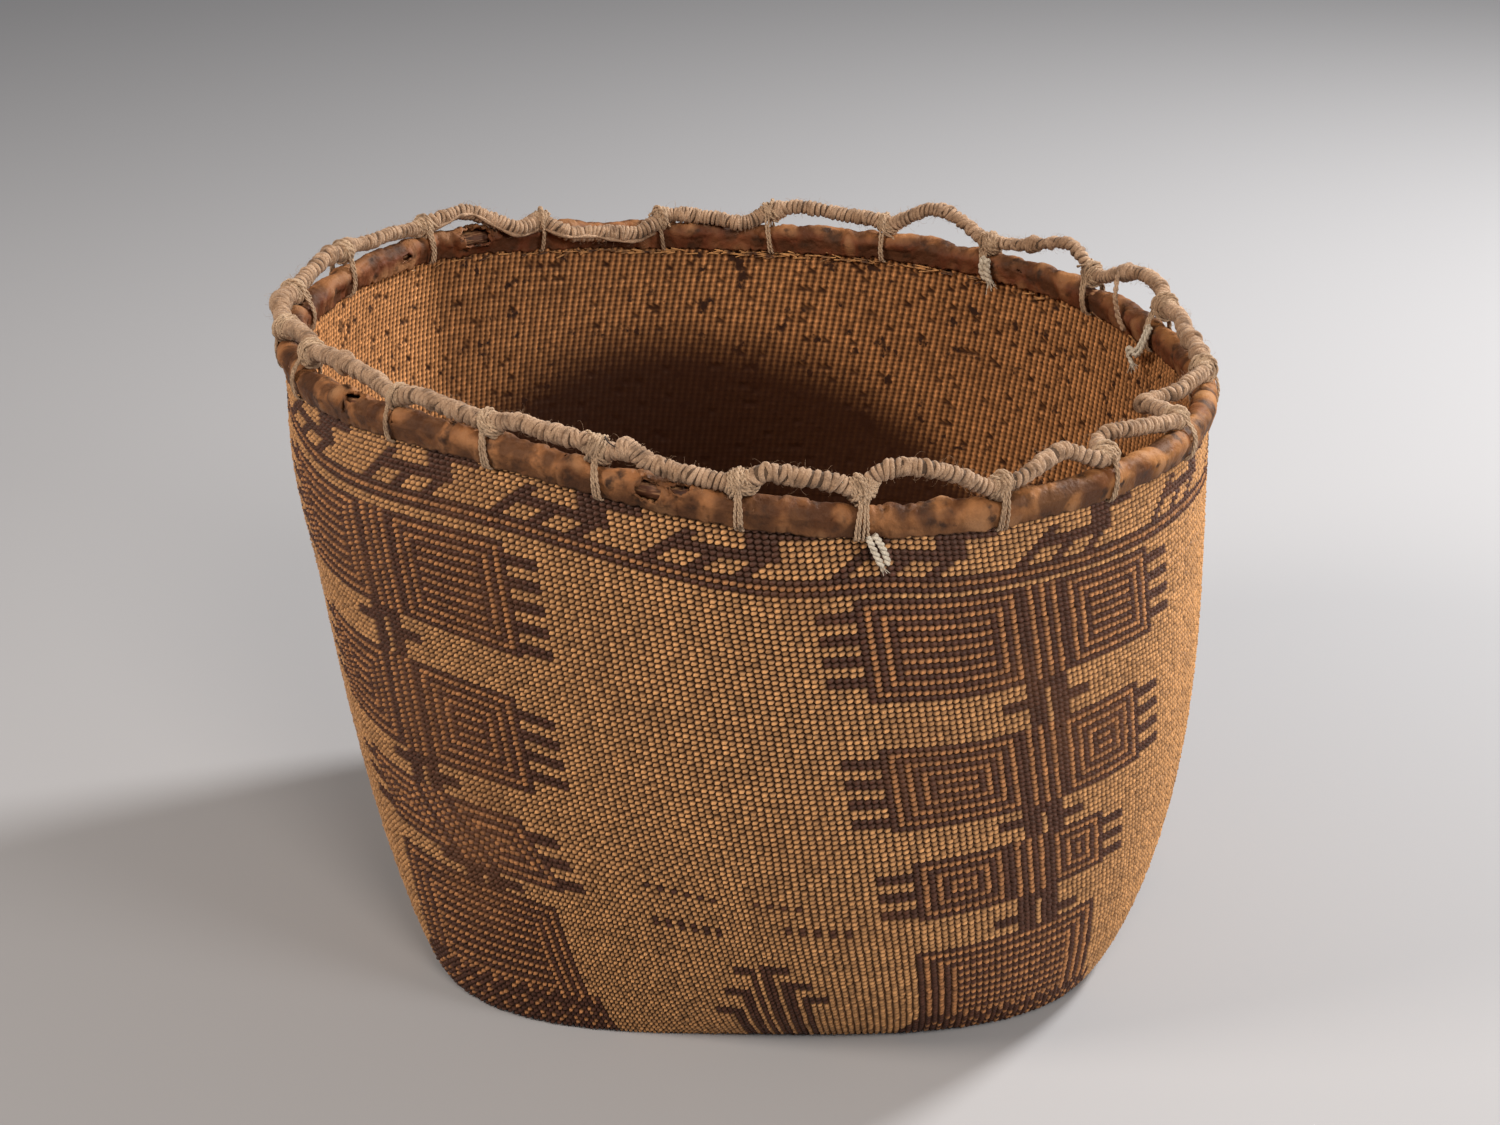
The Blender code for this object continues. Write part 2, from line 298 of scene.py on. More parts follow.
def sums(tree, operation, first, second=0.0, third=0.0, clamp=False):
    values = {0: first, 1: second, 2: third}
    made = add_node(tree, "ShaderNodeMath", values, operation=operation, use_clamp=clamp)
    return made.outputs[0]


def stretched(tree, value, low, high):
    """Stretches the values between low and high to run from 0 to 1."""
    return add_node(tree, "ShaderNodeMapRange", {0: value, 1: low, 2: high}).outputs[0]


def noise_at(tree, scale, detail=3.0, stretch=(1.0, 1.0, 1.0)):
    place = tree.nodes.new("ShaderNodeTexCoord").outputs["Object"]
    mapped = add_node(tree, "ShaderNodeMapping", {"Vector": place, "Scale": stretch})
    values = {"Vector": mapped.outputs[0], "Scale": scale, "Detail": detail}
    return add_node(tree, "ShaderNodeTexNoise", values).outputs[0]


print("node helpers ready")

# %% [markdown]
# ## Effects that several finishes share
# Straw, hide, string and cotton all need the same two effects: soft stains and fine fibres. Each
# is a node group with named sockets, built once, so that a change in it reaches every material.
# The groups hand out colours and heights only. The Principled shader stays in each material, where
# the export can read it.

# %% Stains and fibres as node groups


def new_group(name, inputs, outputs):
    """An empty group with its sockets: inputs have a name and a value, outputs a name and a kind."""
    group = bpy.data.node_groups.new(name, "ShaderNodeTree")
    kinds = {float: "NodeSocketFloat", tuple: "NodeSocketColor"}
    for label, value in inputs:
        made = group.interface.new_socket(label, in_out="INPUT", socket_type=kinds[type(value)])
        made.default_value = value
    for label, kind in outputs:
        group.interface.new_socket(label, in_out="OUTPUT", socket_type=kinds[kind])
    given = group.nodes.new("NodeGroupInput").outputs
    handed = group.nodes.new("NodeGroupOutput").inputs
    return group, given, handed


stain_inputs = [
    ("Color", (1.0, 1.0, 1.0, 1.0)),
    ("Stain", (0.1, 0.05, 0.03, 1.0)),
    ("Scale", 40.0),
    ("From", 0.55),
    ("To", 0.7),
]
stains, given, handed = new_group("stains", stain_inputs, [("Color", tuple)])
cloud = noise_at(stains, given["Scale"], detail=4.0)
stained = stretched(stains, cloud, given["From"], given["To"])
feed(stains, handed["Color"], mix_colour(stains, stained, given["Color"], given["Stain"]))

fibre_inputs = [
    ("Color", (1.0, 1.0, 1.0, 1.0)),
    ("Shade", (0.2, 0.15, 0.1, 1.0)),
    ("Scale", 900.0),
    ("Amount", 0.5),
]
fibres, given, handed = new_group("fibres", fibre_inputs, [("Color", tuple), ("Height", float)])
fine = noise_at(fibres, given["Scale"], detail=2.0)
strength = sums(fibres, "MULTIPLY", fine, given["Amount"], clamp=True)
feed(fibres, handed["Color"], mix_colour(fibres, strength, given["Color"], given["Shade"]))
feed(fibres, handed["Height"], fine)
print("node groups:", [group.name for group in bpy.data.node_groups])

# %% [markdown]
# ## The straw's colours
# Each stitch is one straw colour: golden, rust or dark brown. The mesh will carry that as an
# attribute called `dye`: 0 for golden, a half for rust and 1 for dark. `tone` is the small
# difference from stitch to stitch, and inside it also carries two patches of painted light.
# `depth` says how deep a point lies between stitches; there the colour is painted dark, as dust
# and as shade. A pattern kept as an attribute follows the weave round every curve, which a texture
# laid over the object can't do. One group turns the three into a colour and a roughness.

# %% The dyed straw group
DULLEST_TONE = 0.62
TONE_SPREAD = 0.75
GAP_ROUGHNESS = 0.85
STRAW_SMOOTHER_BY = -0.38
straw_inputs = [
    ("Straw", (0.5, 0.3, 0.12, 1.0)),
    ("Rust", (0.4, 0.18, 0.06, 1.0)),
    ("Dark", (0.06, 0.03, 0.02, 1.0)),
    ("Gap", (0.02, 0.01, 0.005, 1.0)),
    ("Dye", 0.0),
    ("Tone", 0.5),
    ("Depth", 1.0),
]
straw_outputs = [("Color", tuple), ("Roughness", float)]
dyed_straw, given, handed = new_group("dyed_straw", straw_inputs, straw_outputs)
to_rust = sums(dyed_straw, "MULTIPLY", given["Dye"], 2.0, clamp=True)
to_dark = sums(dyed_straw, "MULTIPLY_ADD", given["Dye"], 2.0, -1.0, clamp=True)
colour = mix_colour(dyed_straw, to_rust, given["Straw"], given["Rust"])
colour = mix_colour(dyed_straw, to_dark, colour, given["Dark"])
light = sums(dyed_straw, "MULTIPLY_ADD", given["Tone"], TONE_SPREAD, DULLEST_TONE)
toned = add_node(dyed_straw, "ShaderNodeHueSaturation", {"Color": colour, "Value": light})
# Painted shade and dust between stitches: the lower a point lies, the more of the dark gap colour it gets
shown = sums(dyed_straw, "POWER", given["Depth"], 2.0)
feed(dyed_straw, handed["Color"], mix_colour(dyed_straw, shown, given["Gap"], toned.outputs[0]))
rough = sums(dyed_straw, "MULTIPLY_ADD", given["Depth"], STRAW_SMOOTHER_BY, GAP_ROUGHNESS)
feed(dyed_straw, handed["Roughness"], rough)
print("dyed straw takes", [label for label, _ in straw_inputs])

# %% [markdown]
# ## Every material starts the same way
# Every finish here is one Principled shader, which can be straw, hide, wood or cotton by its
# roughness, gloss and sheen. `use_group` puts a shared effect into a material, `attribute` reads
# what the mesh carries, and `bump` gives the finest relief, too fine to be worth faces.

# %% Material helpers


def principled(name, roughness, gloss=0.35, sheen=0.0):
    """A new material, its tree and its Principled shader."""
    material = bpy.data.materials.new(name)
    material.use_nodes = True
    shader = material.node_tree.nodes["Principled BSDF"]
    shader.inputs["Roughness"].default_value = roughness
    shader.inputs["Sheen Weight"].default_value = sheen
    shader.inputs["Sheen Roughness"].default_value = 0.5
    shader.inputs["Specular IOR Level"].default_value = gloss
    return material, material.node_tree, shader


def use_group(tree, group, **values):
    made = tree.nodes.new("ShaderNodeGroup")
    made.node_tree = group
    for name, value in values.items():
        feed(tree, made.inputs[name], value)
    return made.outputs


def attribute(tree, name):
    return add_node(tree, "ShaderNodeAttribute", {}, attribute_name=name).outputs["Fac"]


def bump(tree, shader, height, distance, strength):
    values = {"Height": height, "Distance": distance, "Strength": strength}
    feed(tree, shader.inputs["Normal"], add_node(tree, "ShaderNodeBump", values).outputs[0])


print("shared effects:", stains.name, fibres.name, dyed_straw.name)

# %% [markdown]
# ## The straw's two finishes
# Outside, straw has a slight stem sheen and broad brown stains. Inside it is duller and flecked,
# and towards the bottom at the back it is painted black, as the shadow of the rim. Both are one
# function with other values. The painted shadow comes from an attribute too, so that its edge can
# follow the rows.

# %% Straw materials
# The colour of the painted shadow on the lower inside
PAINTED_SHADOW_COLOUR = (0.032, 0.010, 0.004, 1)


def straw_material(name, colours, stain, painted_shadow_share, gloss):
    """Woven straw. Colours are straw, rust, dark and gap, the painted shade and dust between stitches. A
    stain has a colour, scale and range.
    """
    material, tree, shader = principled(name, roughness=0.6, gloss=gloss)
    straw, rust, dark, gap = colours
    stain_colour, scale, first, last = stain
    woven = use_group(
        tree, dyed_straw, Straw=straw, Rust=rust, Dark=dark, Gap=gap,
        Dye=attribute(tree, "dye"), Tone=attribute(tree, "tone"), Depth=attribute(tree, "depth"),
    )
    feed(tree, shader.inputs["Roughness"], woven["Roughness"])
    fibrous = use_group(tree, fibres, Color=woven["Color"], Shade=gap, Scale=750.0, Amount=0.42)
    worn = use_group(
        tree, stains, Color=fibrous["Color"], Stain=stain_colour, Scale=scale, From=first, To=last
    )
    # Painted shadow: this attribute darkens the lower inside nearly to black, as the rim's shadow
    painted_shadow = sums(tree, "MULTIPLY", attribute(tree, "painted_shadow"), painted_shadow_share)
    feed(tree, shader.inputs["Base Color"], mix_colour(tree, painted_shadow, worn["Color"], PAINTED_SHADOW_COLOUR))
    bump(tree, shader, fibrous["Height"], distance=0.0002, strength=0.6)
    return material


straw_outside = straw_material(
    "straw_outside",
    colours=(
        (0.86, 0.44, 0.172, 1),
        (0.68, 0.30, 0.110, 1),
        (0.105, 0.038, 0.020, 1),
        (0.042, 0.013, 0.004, 1),
    ),
    stain=((0.20, 0.080, 0.028, 1), 14.0, 0.57, 1.05),
    painted_shadow_share=0.0,
    gloss=0.35,
)
straw_inside = straw_material(
    "straw_inside",
    colours=(
        (0.78, 0.360, 0.140, 1),
        (0.45, 0.16, 0.055, 1),
        (0.06, 0.025, 0.015, 1),
        (0.030, 0.010, 0.004, 1),
    ),
    stain=((0.035, 0.015, 0.009, 1), 130.0, 0.61, 0.68),
    painted_shadow_share=1.0,
    gloss=0.12,
)
print("straw materials:", straw_outside.name, straw_inside.name)

# %% [markdown]
# ## The stitch grid
# The wall has 400 stitches round and 118 rows up, each about 2.8 by 2 mm. The uprights of a
# twined basket lean a little, because every stitch is a half twist that pushes its upright over.
# `column_place` holds that lean, the slightly uneven spacing, the stronger pull at the front left
# corner of the base, and the places where a foot panel draws its uprights together. `row_place`
# does the same for the rows, which climb at the left and hump at the front right. Without these
# the weave would look printed.

# %% Where columns and rows run
STITCHES = 400
ROWS = 118
STITCH_TURN = math.tau / STITCHES
FRONT = -math.pi / 2
DRIFT = 4.1
DRIFT_START = -35
DRIFT_PERIOD = 200
LEAN_PER_ROW = 0.13
UPRIGHT_ROW = 112
PANEL_REPEAT = 100
RIPPLE = 0.35
RIPPLES_ROUND = 7
RIPPLE_SHIFT_PER_ROW = 0.11
RIPPLE_FADE = 10
# Places where the weave is pulled: the column, its half width in columns, how far it pulls in
# stitches or rows, and the row and the number of rows over which it fades
corner = {"at": -62, "width": 26, "pull": 9.0, "row": 48, "fade": 18}
panel = {"at": -14, "width": 12, "pull": 2.2, "row": 60, "fade": 30}
climb = {"at": -94, "width": 14, "pull": 3.6, "row": 0, "fade": 35}
hump = {"at": 12, "width": 8, "pull": 1.3, "row": 60, "fade": 40}


def columns_from(column, place, repeat=STITCHES):
    """How many columns away a place is, the short way round or within one repeat."""
    return (column - place + repeat / 2) % repeat - repeat / 2


def column_place(column, row):
    """Where a column stands at a row, in stitches round from the front."""
    uneven = DRIFT * np.sin(math.tau * (column - DRIFT_START) / DRIFT_PERIOD)
    lean = LEAN_PER_ROW * (UPRIGHT_ROW - row)
    pulled = corner["pull"] * ease((corner["row"] - row) / corner["fade"])
    pulled = pulled * bell(columns_from(column, corner["at"]), corner["width"])
    beside = columns_from(column, panel["at"], PANEL_REPEAT) / panel["width"]
    drawn_in = panel["pull"] * beside * bell(beside, 1.0) * ease((panel["row"] - row) / panel["fade"])
    return column + uneven + lean + pulled - drawn_in


def raised(place, column, row):
    """How far a row is raised beside a place."""
    beside = bell(columns_from(column, place["at"]), place["width"])
    return place["pull"] * beside * ease((row - place["row"]) / place["fade"])


def row_place(column, row):
    """The level of a row at a column."""
    wave = math.tau * column * RIPPLES_ROUND / STITCHES + row * RIPPLE_SHIFT_PER_ROW
    ripple = RIPPLE * np.sin(wave) * ease(row / RIPPLE_FADE)
    return row + raised(climb, column, row) + raised(hump, column, row) + ripple


def turn_of(column, row):
    """The angle round the basket at a column and row."""
    return FRONT + STITCH_TURN * column_place(column, row)


print("column 0 leans by", round(float(column_place(0, 0) - column_place(0, ROWS)), 1), "stitches")

# %% [markdown]
# ## From the grid to the wall
# Straw has the same thickness everywhere, so rows are spaced evenly along the curved wall and not
# evenly in height. `row_table` measures the wall at 721 angles and notes where each row falls.
# `wall_grid` then reads that table between its entries, which is much quicker than measuring again
# for each of some thousand columns. `outward_of` finds which way is out at every point.

# %% Grid points on the wall
FINE_STEPS = 260
table_angles = np.linspace(-math.pi, math.pi, 721)


def row_table(levels):
    """The rise of evenly spaced levels up the wall, for each of the table's angles."""
    fine_rise = np.linspace(0, 1, FINE_STEPS) ** 1.6
    grid_angle, grid_rise = np.meshgrid(table_angles, fine_rise, indexing="ij")
    steps = np.linalg.norm(np.diff(wall_points(grid_angle, grid_rise), axis=1), axis=-1)
    length = np.concatenate([np.zeros((len(table_angles), 1)), np.cumsum(steps, 1)], 1)
    wanted = np.linspace(0, 1, levels)
    return np.array([np.interp(wanted * row[-1], row, fine_rise) for row in length])


def wall_grid(columns, rows):
    """Middle points of the wall at every grid point, columns first."""
    table = row_table(ROWS + 1)
    last = len(table_angles) - 1
    points = np.zeros((len(columns), len(rows), 3))
    for index, row in enumerate(rows):
        turn = short_way(turn_of(columns, row))
        spot = (turn + math.pi) / math.tau * last
        level = np.clip(row_place(columns, row), 0.0, ROWS - 0.001)
        a = np.minimum(spot.astype(int), last - 1)
        b = level.astype(int)
        u = spot - a
        low = table[a, b] * (1 - u) + table[a + 1, b] * u
        high = table[a, b + 1] * (1 - u) + table[a + 1, b + 1] * u
        points[:, index] = wall_points(turn, low + (high - low) * (level - b))
    return points


def outward_of(points):
    """Unit directions out of the wall, from the way its grid of points runs."""
    looped = np.concatenate([points[-2:-1], points, points[1:2]])
    along = looped[2:] - looped[:-2]
    up = np.gradient(points, axis=1)
    out = np.cross(along, up)
    return out / np.linalg.norm(out, axis=-1, keepdims=True)


side_line = wall_points(np.zeros(200), np.linspace(0, 1, 200))
side_length = np.linalg.norm(np.diff(side_line, axis=0), axis=-1).sum()
print("row height in mm:", round(side_length / ROWS * 1000, 2))

# %% [markdown]
# ## The pattern, as a weaver counts it
# The pattern is worked by counting stitches, so it is a table of stitches that small rules fill
# in. Four columns of it stand round the basket. Each is a stem with three tiers of nested
# rectangles whose outer ends are combs, and a panel of nested rectangles at the foot. These are the
# rules for one nest, one comb and one stem. Columns count from the front, to the right.

# %% Rules for nests, combs and stems
STRAW = 0.0
RUST = 0.5
DARK = 1.0
dye = np.full((STITCHES, ROWS), STRAW)


def mark(first, last, low, high, colour):
    """Dyes the stitches from one column and row to another, both ends included."""
    columns = np.arange(round(min(first, last)), round(max(first, last)) + 1) % STITCHES
    rows = np.arange(max(0, round(low)), min(ROWS - 1, round(high)) + 1)
    dye[np.ix_(columns, rows)] = colour


def other(colour):
    return RUST if colour == DARK else DARK


def nested(first, last, low, high, rings):
    """Rectangles one inside another, dark and rust in turn, then level rows in the middle."""
    first, last = min(first, last), max(first, last)
    colour = DARK
    while rings > 0 and first <= last and low <= high:
        mark(first, last, low, high, colour)
        first, last, low, high = first + 1, last - 1, low + 1, high - 1
        colour = other(colour)
        rings -= 1
    for row in range(low, high + 1):
        if first <= last:
            mark(first, last, row, row, colour)
        colour = other(colour)


def comb(base, side, length, low, high):
    """Dark teeth, two rows high, that stick out of a tier's end."""
    row = high - 2
    while row > low:
        mark(base, base + side * (length - 1), row - 1, row, DARK)
        row -= 4


def stem(middle, low, high, arm_row, arm=4):
    """Two dark bars with a light line between them, and a short arm to each side."""
    mark(middle - 3, middle + 3, low, high, DARK)
    mark(middle, middle, low, high - 2, STRAW)
    mark(middle - 3 - arm, middle - 4, arm_row + 1, arm_row + 2, DARK)
    mark(middle + 4, middle + 3 + arm, arm_row, arm_row + 1, DARK)


print("the table holds", dye.size, "stitches")

# %% [markdown]
# ## The four columns of pattern
# A tier is a nest to each side of the stem, with a comb at each end. On the real basket the tiers
# at the front right and the front left are of different heights and lengths, so the tables below
# give them row by row and column by column. The two columns at the back aren't in the photograph.
# They repeat the front ones, as weavers do.

# %% Columns of tiers


def tier(middle, low, high, left, right, rings):
    """Nests on both sides of the stem. Left and right give each comb's base and tips."""
    for side, (base, tips) in ((-1, left), (1, right)):
        nested(middle + side * 4, middle + side * base, low, high, rings)
        comb(middle + side * (base + 1), side, tips - base, low, high)
    for line in range(-3, 4):
        mark(middle + line, middle + line, low, high, RUST if line % 2 == 0 else DARK)


def foot_panel(middle, high, half):
    """A nest that stands open at the foot, over dark rows flecked with straw."""
    nested(middle - half, middle + half, 4, high, 6)
    for row in range(9):
        mark(middle - half - 4 + row // 2, middle + half + 2, row, row, DARK)
        for column in range(middle - half - 3 + row, middle + half + 2, 2 + row % 2):
            mark(column, column, row, row, RUST if row % 3 else DARK)


def motif_column(stems, tiers, arms, arm_rows, ends):
    """One column of the pattern. The stem's place is counted anew at each tier."""
    for (low, high), arm_row, middle in zip(arms, arm_rows, stems[1::2]):
        stem(middle, low, high, arm_row)
    for (low, high), middle, (left, right), rings in zip(tiers, stems[0::2], ends, (5, 7, 6)):
        tier(middle, low, high, left, right, rings)
    foot_panel(stems[6], tiers[3][1], 15)


# First and last rows of the tiers and the foot panel, first and last rows of the stem's parts with
# the row of each arm, and where the combs' bases and tips are, left and right of the stem
right_rules = (
    ((83, 101), (57, 73), (37, 49), (6, 28)),
    ((74, 82), (50, 56), (29, 36)),
    (77, 52, 30),
    (((26, 31), (22, 28)), ((23, 28), (20, 26)), ((17, 22), (14, 19))),
)
left_rules = (
    ((80, 100), (52, 70), (33, 45), (3, 28)),
    ((71, 79), (46, 51), (29, 32)),
    (75, 48, 30),
    (((24, 29), (24, 29)), ((22, 27), (22, 28)), ((17, 22), (17, 22))),
)
motif_column((35, 34, 32, 31, 28, 29, 25), *right_rules)
motif_column((-63, -65, -64, -63, -63, -63, -65), *left_rules)
motif_column((136, 135, 134, 133, 132, 131, 130), *right_rules)
motif_column((236, 235, 234, 233, 232, 231, 230), *left_rules)
print("dark stitches in the columns:", int((dye == DARK).sum()))

# %% [markdown]
# ## Under the rim and at the foot
# Under the rim a leaning step figure repeats every 25 stitches or so above two dark border rows.
# Between the columns lie rows of dashes, and at the foot six bars whose tops turn outwards like
# steps. They come after the columns, because the last stitch worked is the one seen.

# %% Border, rim figures, dashes and foot bars


def rim_figure(at):
    """A leaning step: a slope, a level bar, a head with a flag, and two short feet."""
    for step in range(7):
        mark(at - 5 + step, at - 4 + step, 106 + step, 106 + step, DARK)
    mark(at, at + 12, 109, 110, DARK)
    mark(at + 9, at + 12, 109, 114, DARK)
    mark(at + 12, at + 17, 113, 115, DARK)
    for step in range(3):
        mark(at + 1 + step, at + 2 + step, 106 + step, 106 + step, DARK)
        mark(at + 7 + step, at + 8 + step, 106 + step, 106 + step, DARK)


def dashes(at, low, count, height, pitch=2):
    for number in range(count):
        mark(at + pitch * number, at + pitch * number, low, low + height - 1, DARK)


def foot_bars(at, high):
    """Six bars. Three turn to the left and three to the right, lower and lower."""
    bars = ((0, 1, -12), (3, 4, -6), (6, 6, 0), (8, 9, 1), (11, 12, -3), (14, 14, -7))
    for number, (first, last, drop) in enumerate(bars):
        top = high + drop
        mark(at + first, at + last, 0, top, DARK)
        turned = (first - 3, first) if number < 3 else (last, last + 3)
        mark(at + turned[0], at + turned[1], top - 1, top, DARK)


for row, colour in ((103, DARK), (104, RUST), (105, DARK)):
    mark(0, STITCHES - 1, row, row, colour)
for at in [-83, -58, -34, -12, 12, 37, 65] + [round(65 + 25.2 * n) for n in range(1, 10)]:
    rim_figure(at)
for middle in (-15, 85, 185, 285):
    dashes(middle - 14, 31, 6, 2)
    dashes(middle + 8, 34, 5, 2)
    dashes(middle - 13, 39, 6, 1)
    dashes(middle + 4, 40, 4, 1)
    foot_bars(middle - 6, 23)
print("dark stitches in all:", int((dye == DARK).sum()), "of", dye.size)

# %% [markdown]
# ## Handwork differs from stitch to stitch
# Straws differ in colour, and so do whole rows, because a weaver works a bundle at a time. No two
# stitches are pulled alike either. A random generator with a fixed seed gives each stitch its tone,
# its lift and its stray, and they are the same at every run. Inside, stitches have worn away here
# and there, in small groups and mostly near the rim, so a smooth noise decides where.

# %% Chance for each stitch
TONE_SPREAD_BY_STITCH = 0.24
TONE_SPREAD_BY_ROW = 0.07
TONE_SPREAD_BY_COLUMN = 0.05
STITCH_LIFT = 0.00013
STITCH_STRAY = 0.065
WORN_MOST = 0.5
WORN_ANYWHERE = 0.006
WORN_FROM_NOISE = 0.34
WORN_SOFT_EDGE = 0.16
WORN_FROM_ROW = 50
WORN_FADE_ROWS = 60
chance = np.random.default_rng(7)
stitch_tone = np.clip(chance.normal(0.5, TONE_SPREAD_BY_STITCH, (STITCHES, ROWS)), 0, 1)
row_tone = chance.normal(0, TONE_SPREAD_BY_ROW, (1, ROWS))
column_tone = chance.normal(0, TONE_SPREAD_BY_COLUMN, (STITCHES, 1))
stitch_tone = np.clip(stitch_tone + row_tone + column_tone, 0, 1)
stitch_lift = chance.normal(0, STITCH_LIFT, (STITCHES, ROWS))
stitch_stray = chance.normal(0, STITCH_STRAY, (2, STITCHES, ROWS))

groups = np.array(
    [[noise.noise(Vector((c * 0.62, r * 0.70, 7.7))) for r in range(ROWS)] for c in range(STITCHES)]
)
near_rim = 0.2 + 0.8 * ease((np.arange(ROWS) - WORN_FROM_ROW) / WORN_FADE_ROWS)
worn_share = WORN_MOST * ease((groups - WORN_FROM_NOISE) / WORN_SOFT_EDGE) * near_rim
worn_stitches = chance.uniform(0, 1, (STITCHES, ROWS)) < worn_share + WORN_ANYWHERE
worn_depth = chance.uniform(0.1, 0.6, (STITCHES, ROWS))
print("worn stitches inside:", int(worn_stitches.sum()))

# %% [markdown]
# ## The shape of one stitch
# Nine points make a stitch outside: three columns of three. In each table a row goes up the stitch
# and the rows follow each other across it. The first column and the first point of each column lie
# low, in the gap. The others stand up by a millimetre, slide towards the right and climb, as real
# twining slants. Inside, the uprights show as narrow ribs, crossed by small knobs where the straw
# passes over them. The ribs matter more than the slant there, so four points are enough. Low down,
# where little light comes, two points do.

# %% Stitch shapes
outer_stitch = {
    "lift": 0.00104,
    "heights": np.array([[-1.5, -0.4, -0.7], [-0.45, 1.0, 0.85], [-0.6, 0.8, 0.55]]),
    "slides": np.array([[0.0, -0.10, 0.12], [-0.06, -0.13, 0.01], [0.05, 0.02, 0.16]]),
    "climbs": np.array([[0.02, 0.02, 0.10], [-0.13, -0.08, 0.05], [0.13, 0.06, 0.15]]),
    "depths": np.array([[0.0, 0.2, 0.08], [0.15, 1.0, 0.92], [0.1, 0.95, 0.7]]),
}
rib_and_knob = {
    "lift": 0.0006,
    "heights": np.array([[-0.9, -0.5], [0.25, 1.0]]),
    "slides": np.zeros((2, 2)),
    "climbs": np.zeros((2, 2)),
    "depths": np.array([[0.08, 0.38], [0.8, 1.0]]),
}
plain_rib = {
    "lift": 0.0006,
    "heights": np.array([[-0.9], [0.25]]),
    "slides": np.zeros((2, 1)),
    "climbs": np.zeros((2, 1)),
    "depths": np.array([[0.2], [0.9]]),
}
for form in (outer_stitch, rib_and_knob, plain_rib):
    print("points in a stitch:", form["heights"].size, "lift in mm:", round(form["lift"] * 1000, 2))

# %% [markdown]
# ## From a flat grid to a band
# A band of the weave starts as Blender's own grid primitive with the right count of faces, because
# its points and faces come in a known order. Its points are then moved on to the wall. The grid's
# first and last columns end up on each other, and the doubles are merged to close the seam. Inside,
# the faces look the wrong way at first, and are flipped.

# %% Grid tools
NO_DISTANCE = 0.000001


def grid_piece(name, across, up):
    """A flat grid primitive, and the place of each of its points in the grid."""
    deselect()
    bpy.ops.mesh.primitive_grid_add(x_subdivisions=across, y_subdivisions=up, size=1.0)
    item = bpy.context.object
    item.name = name
    item.data.name = name
    flat = np.zeros(len(item.data.vertices) * 3)
    item.data.vertices.foreach_get("co", flat)
    flat = flat.reshape(-1, 3) + 0.5
    return item, np.rint(flat[:, 0] * across).astype(int), np.rint(flat[:, 1] * up).astype(int)


def place_points(item, points):
    item.data.vertices.foreach_set("co", np.ascontiguousarray(points + plan_middle).ravel())
    item.data.update()


def add_attribute(item, name, values, domain):
    made = item.data.attributes.new(name, "FLOAT", domain)
    made.data.foreach_set("value", np.ascontiguousarray(values, dtype=np.float32))


def face_corners(item):
    """The numbers of the four points of each face."""
    corner = np.zeros(len(item.data.loops), int)
    item.data.loops.foreach_get("vertex_index", corner)
    return corner.reshape(len(item.data.polygons), 4)


def close_grid(item, face_out):
    """Turns the faces outwards, joins the grid's first and last columns, and shades it smooth."""
    bpy.context.view_layer.objects.active = item
    bpy.ops.object.mode_set(mode="EDIT")
    bpy.ops.mesh.select_all(action="SELECT")
    if not face_out:
        bpy.ops.mesh.flip_normals()
    bpy.ops.mesh.remove_doubles(threshold=NO_DISTANCE)
    bpy.ops.object.mode_set(mode="OBJECT")
    bpy.ops.object.shade_smooth()


print("grid tools ready")

# %% [markdown]
# ## Painted shadow and light inside
# A painted shadow darkens the lower inside, highest at the back, where the rim's shadow falls.
# Painted light makes it paler in two places: beside the crease at the back left, and at the right.
# These two small functions hold that, by angle and row. They are painted into the colour, so they
# become attributes.

# %% Painted shadow and painted light
# The painted shadow of the rim on the lower inside: its top row, its drop to the sides and its soft edge
SHADOW_TOP_ROW = 104
SHADOW_DROP = 34
SHADOW_HALF_TURN = 0.80
SHADOW_FADE_ROWS = 17
SHADOW_MOST = 0.97
shadow_middle = math.radians(98)
# Two patches of painted light inside: beside the crease at the back left, and at the right
PAINTED_LIGHT_LEFT = 0.55
PAINTED_LIGHT_LEFT_START_WIDTH = 0.010
PAINTED_LIGHT_LEFT_END = 3.5
PAINTED_LIGHT_LEFT_END_WIDTH = 0.6
PAINTED_LIGHT_FROM_ROW = 40
PAINTED_LIGHT_FADE_ROWS = 45
PAINTED_LIGHT_RIGHT = 0.42
PAINTED_LIGHT_RIGHT_TURN = 0.45
PAINTED_LIGHT_RIGHT_HALF_TURN = 0.40


def painted_shadow_at(turn, level):
    """The share of painted shadow on the lower inside, where the rim's shadow falls."""
    sideways = np.minimum((short_way(turn - shadow_middle) / SHADOW_HALF_TURN) ** 2, 2.0)
    top = SHADOW_TOP_ROW - SHADOW_DROP * sideways
    return SHADOW_MOST * ease((top - level) / SHADOW_FADE_ROWS)


def with_painted_light(tone, turn, row):
    """The tone with the two patches of painted light added."""
    turn = turn % math.tau
    after_crease = ease((turn - crease_turn) / PAINTED_LIGHT_LEFT_START_WIDTH)
    before_end = 1 - ease((turn - PAINTED_LIGHT_LEFT_END) / PAINTED_LIGHT_LEFT_END_WIDTH)
    upper = ease((row - PAINTED_LIGHT_FROM_ROW) / PAINTED_LIGHT_FADE_ROWS)
    tone = tone + PAINTED_LIGHT_LEFT * (after_crease * before_end) * upper
    return tone + PAINTED_LIGHT_RIGHT * bell(short_way(turn - PAINTED_LIGHT_RIGHT_TURN), PAINTED_LIGHT_RIGHT_HALF_TURN)


shadowed_rows = np.array([60, 100, 110])
print("soot at the back, at rows", shadowed_rows, "is", np.round(painted_shadow_at(shadow_middle, shadowed_rows), 2))

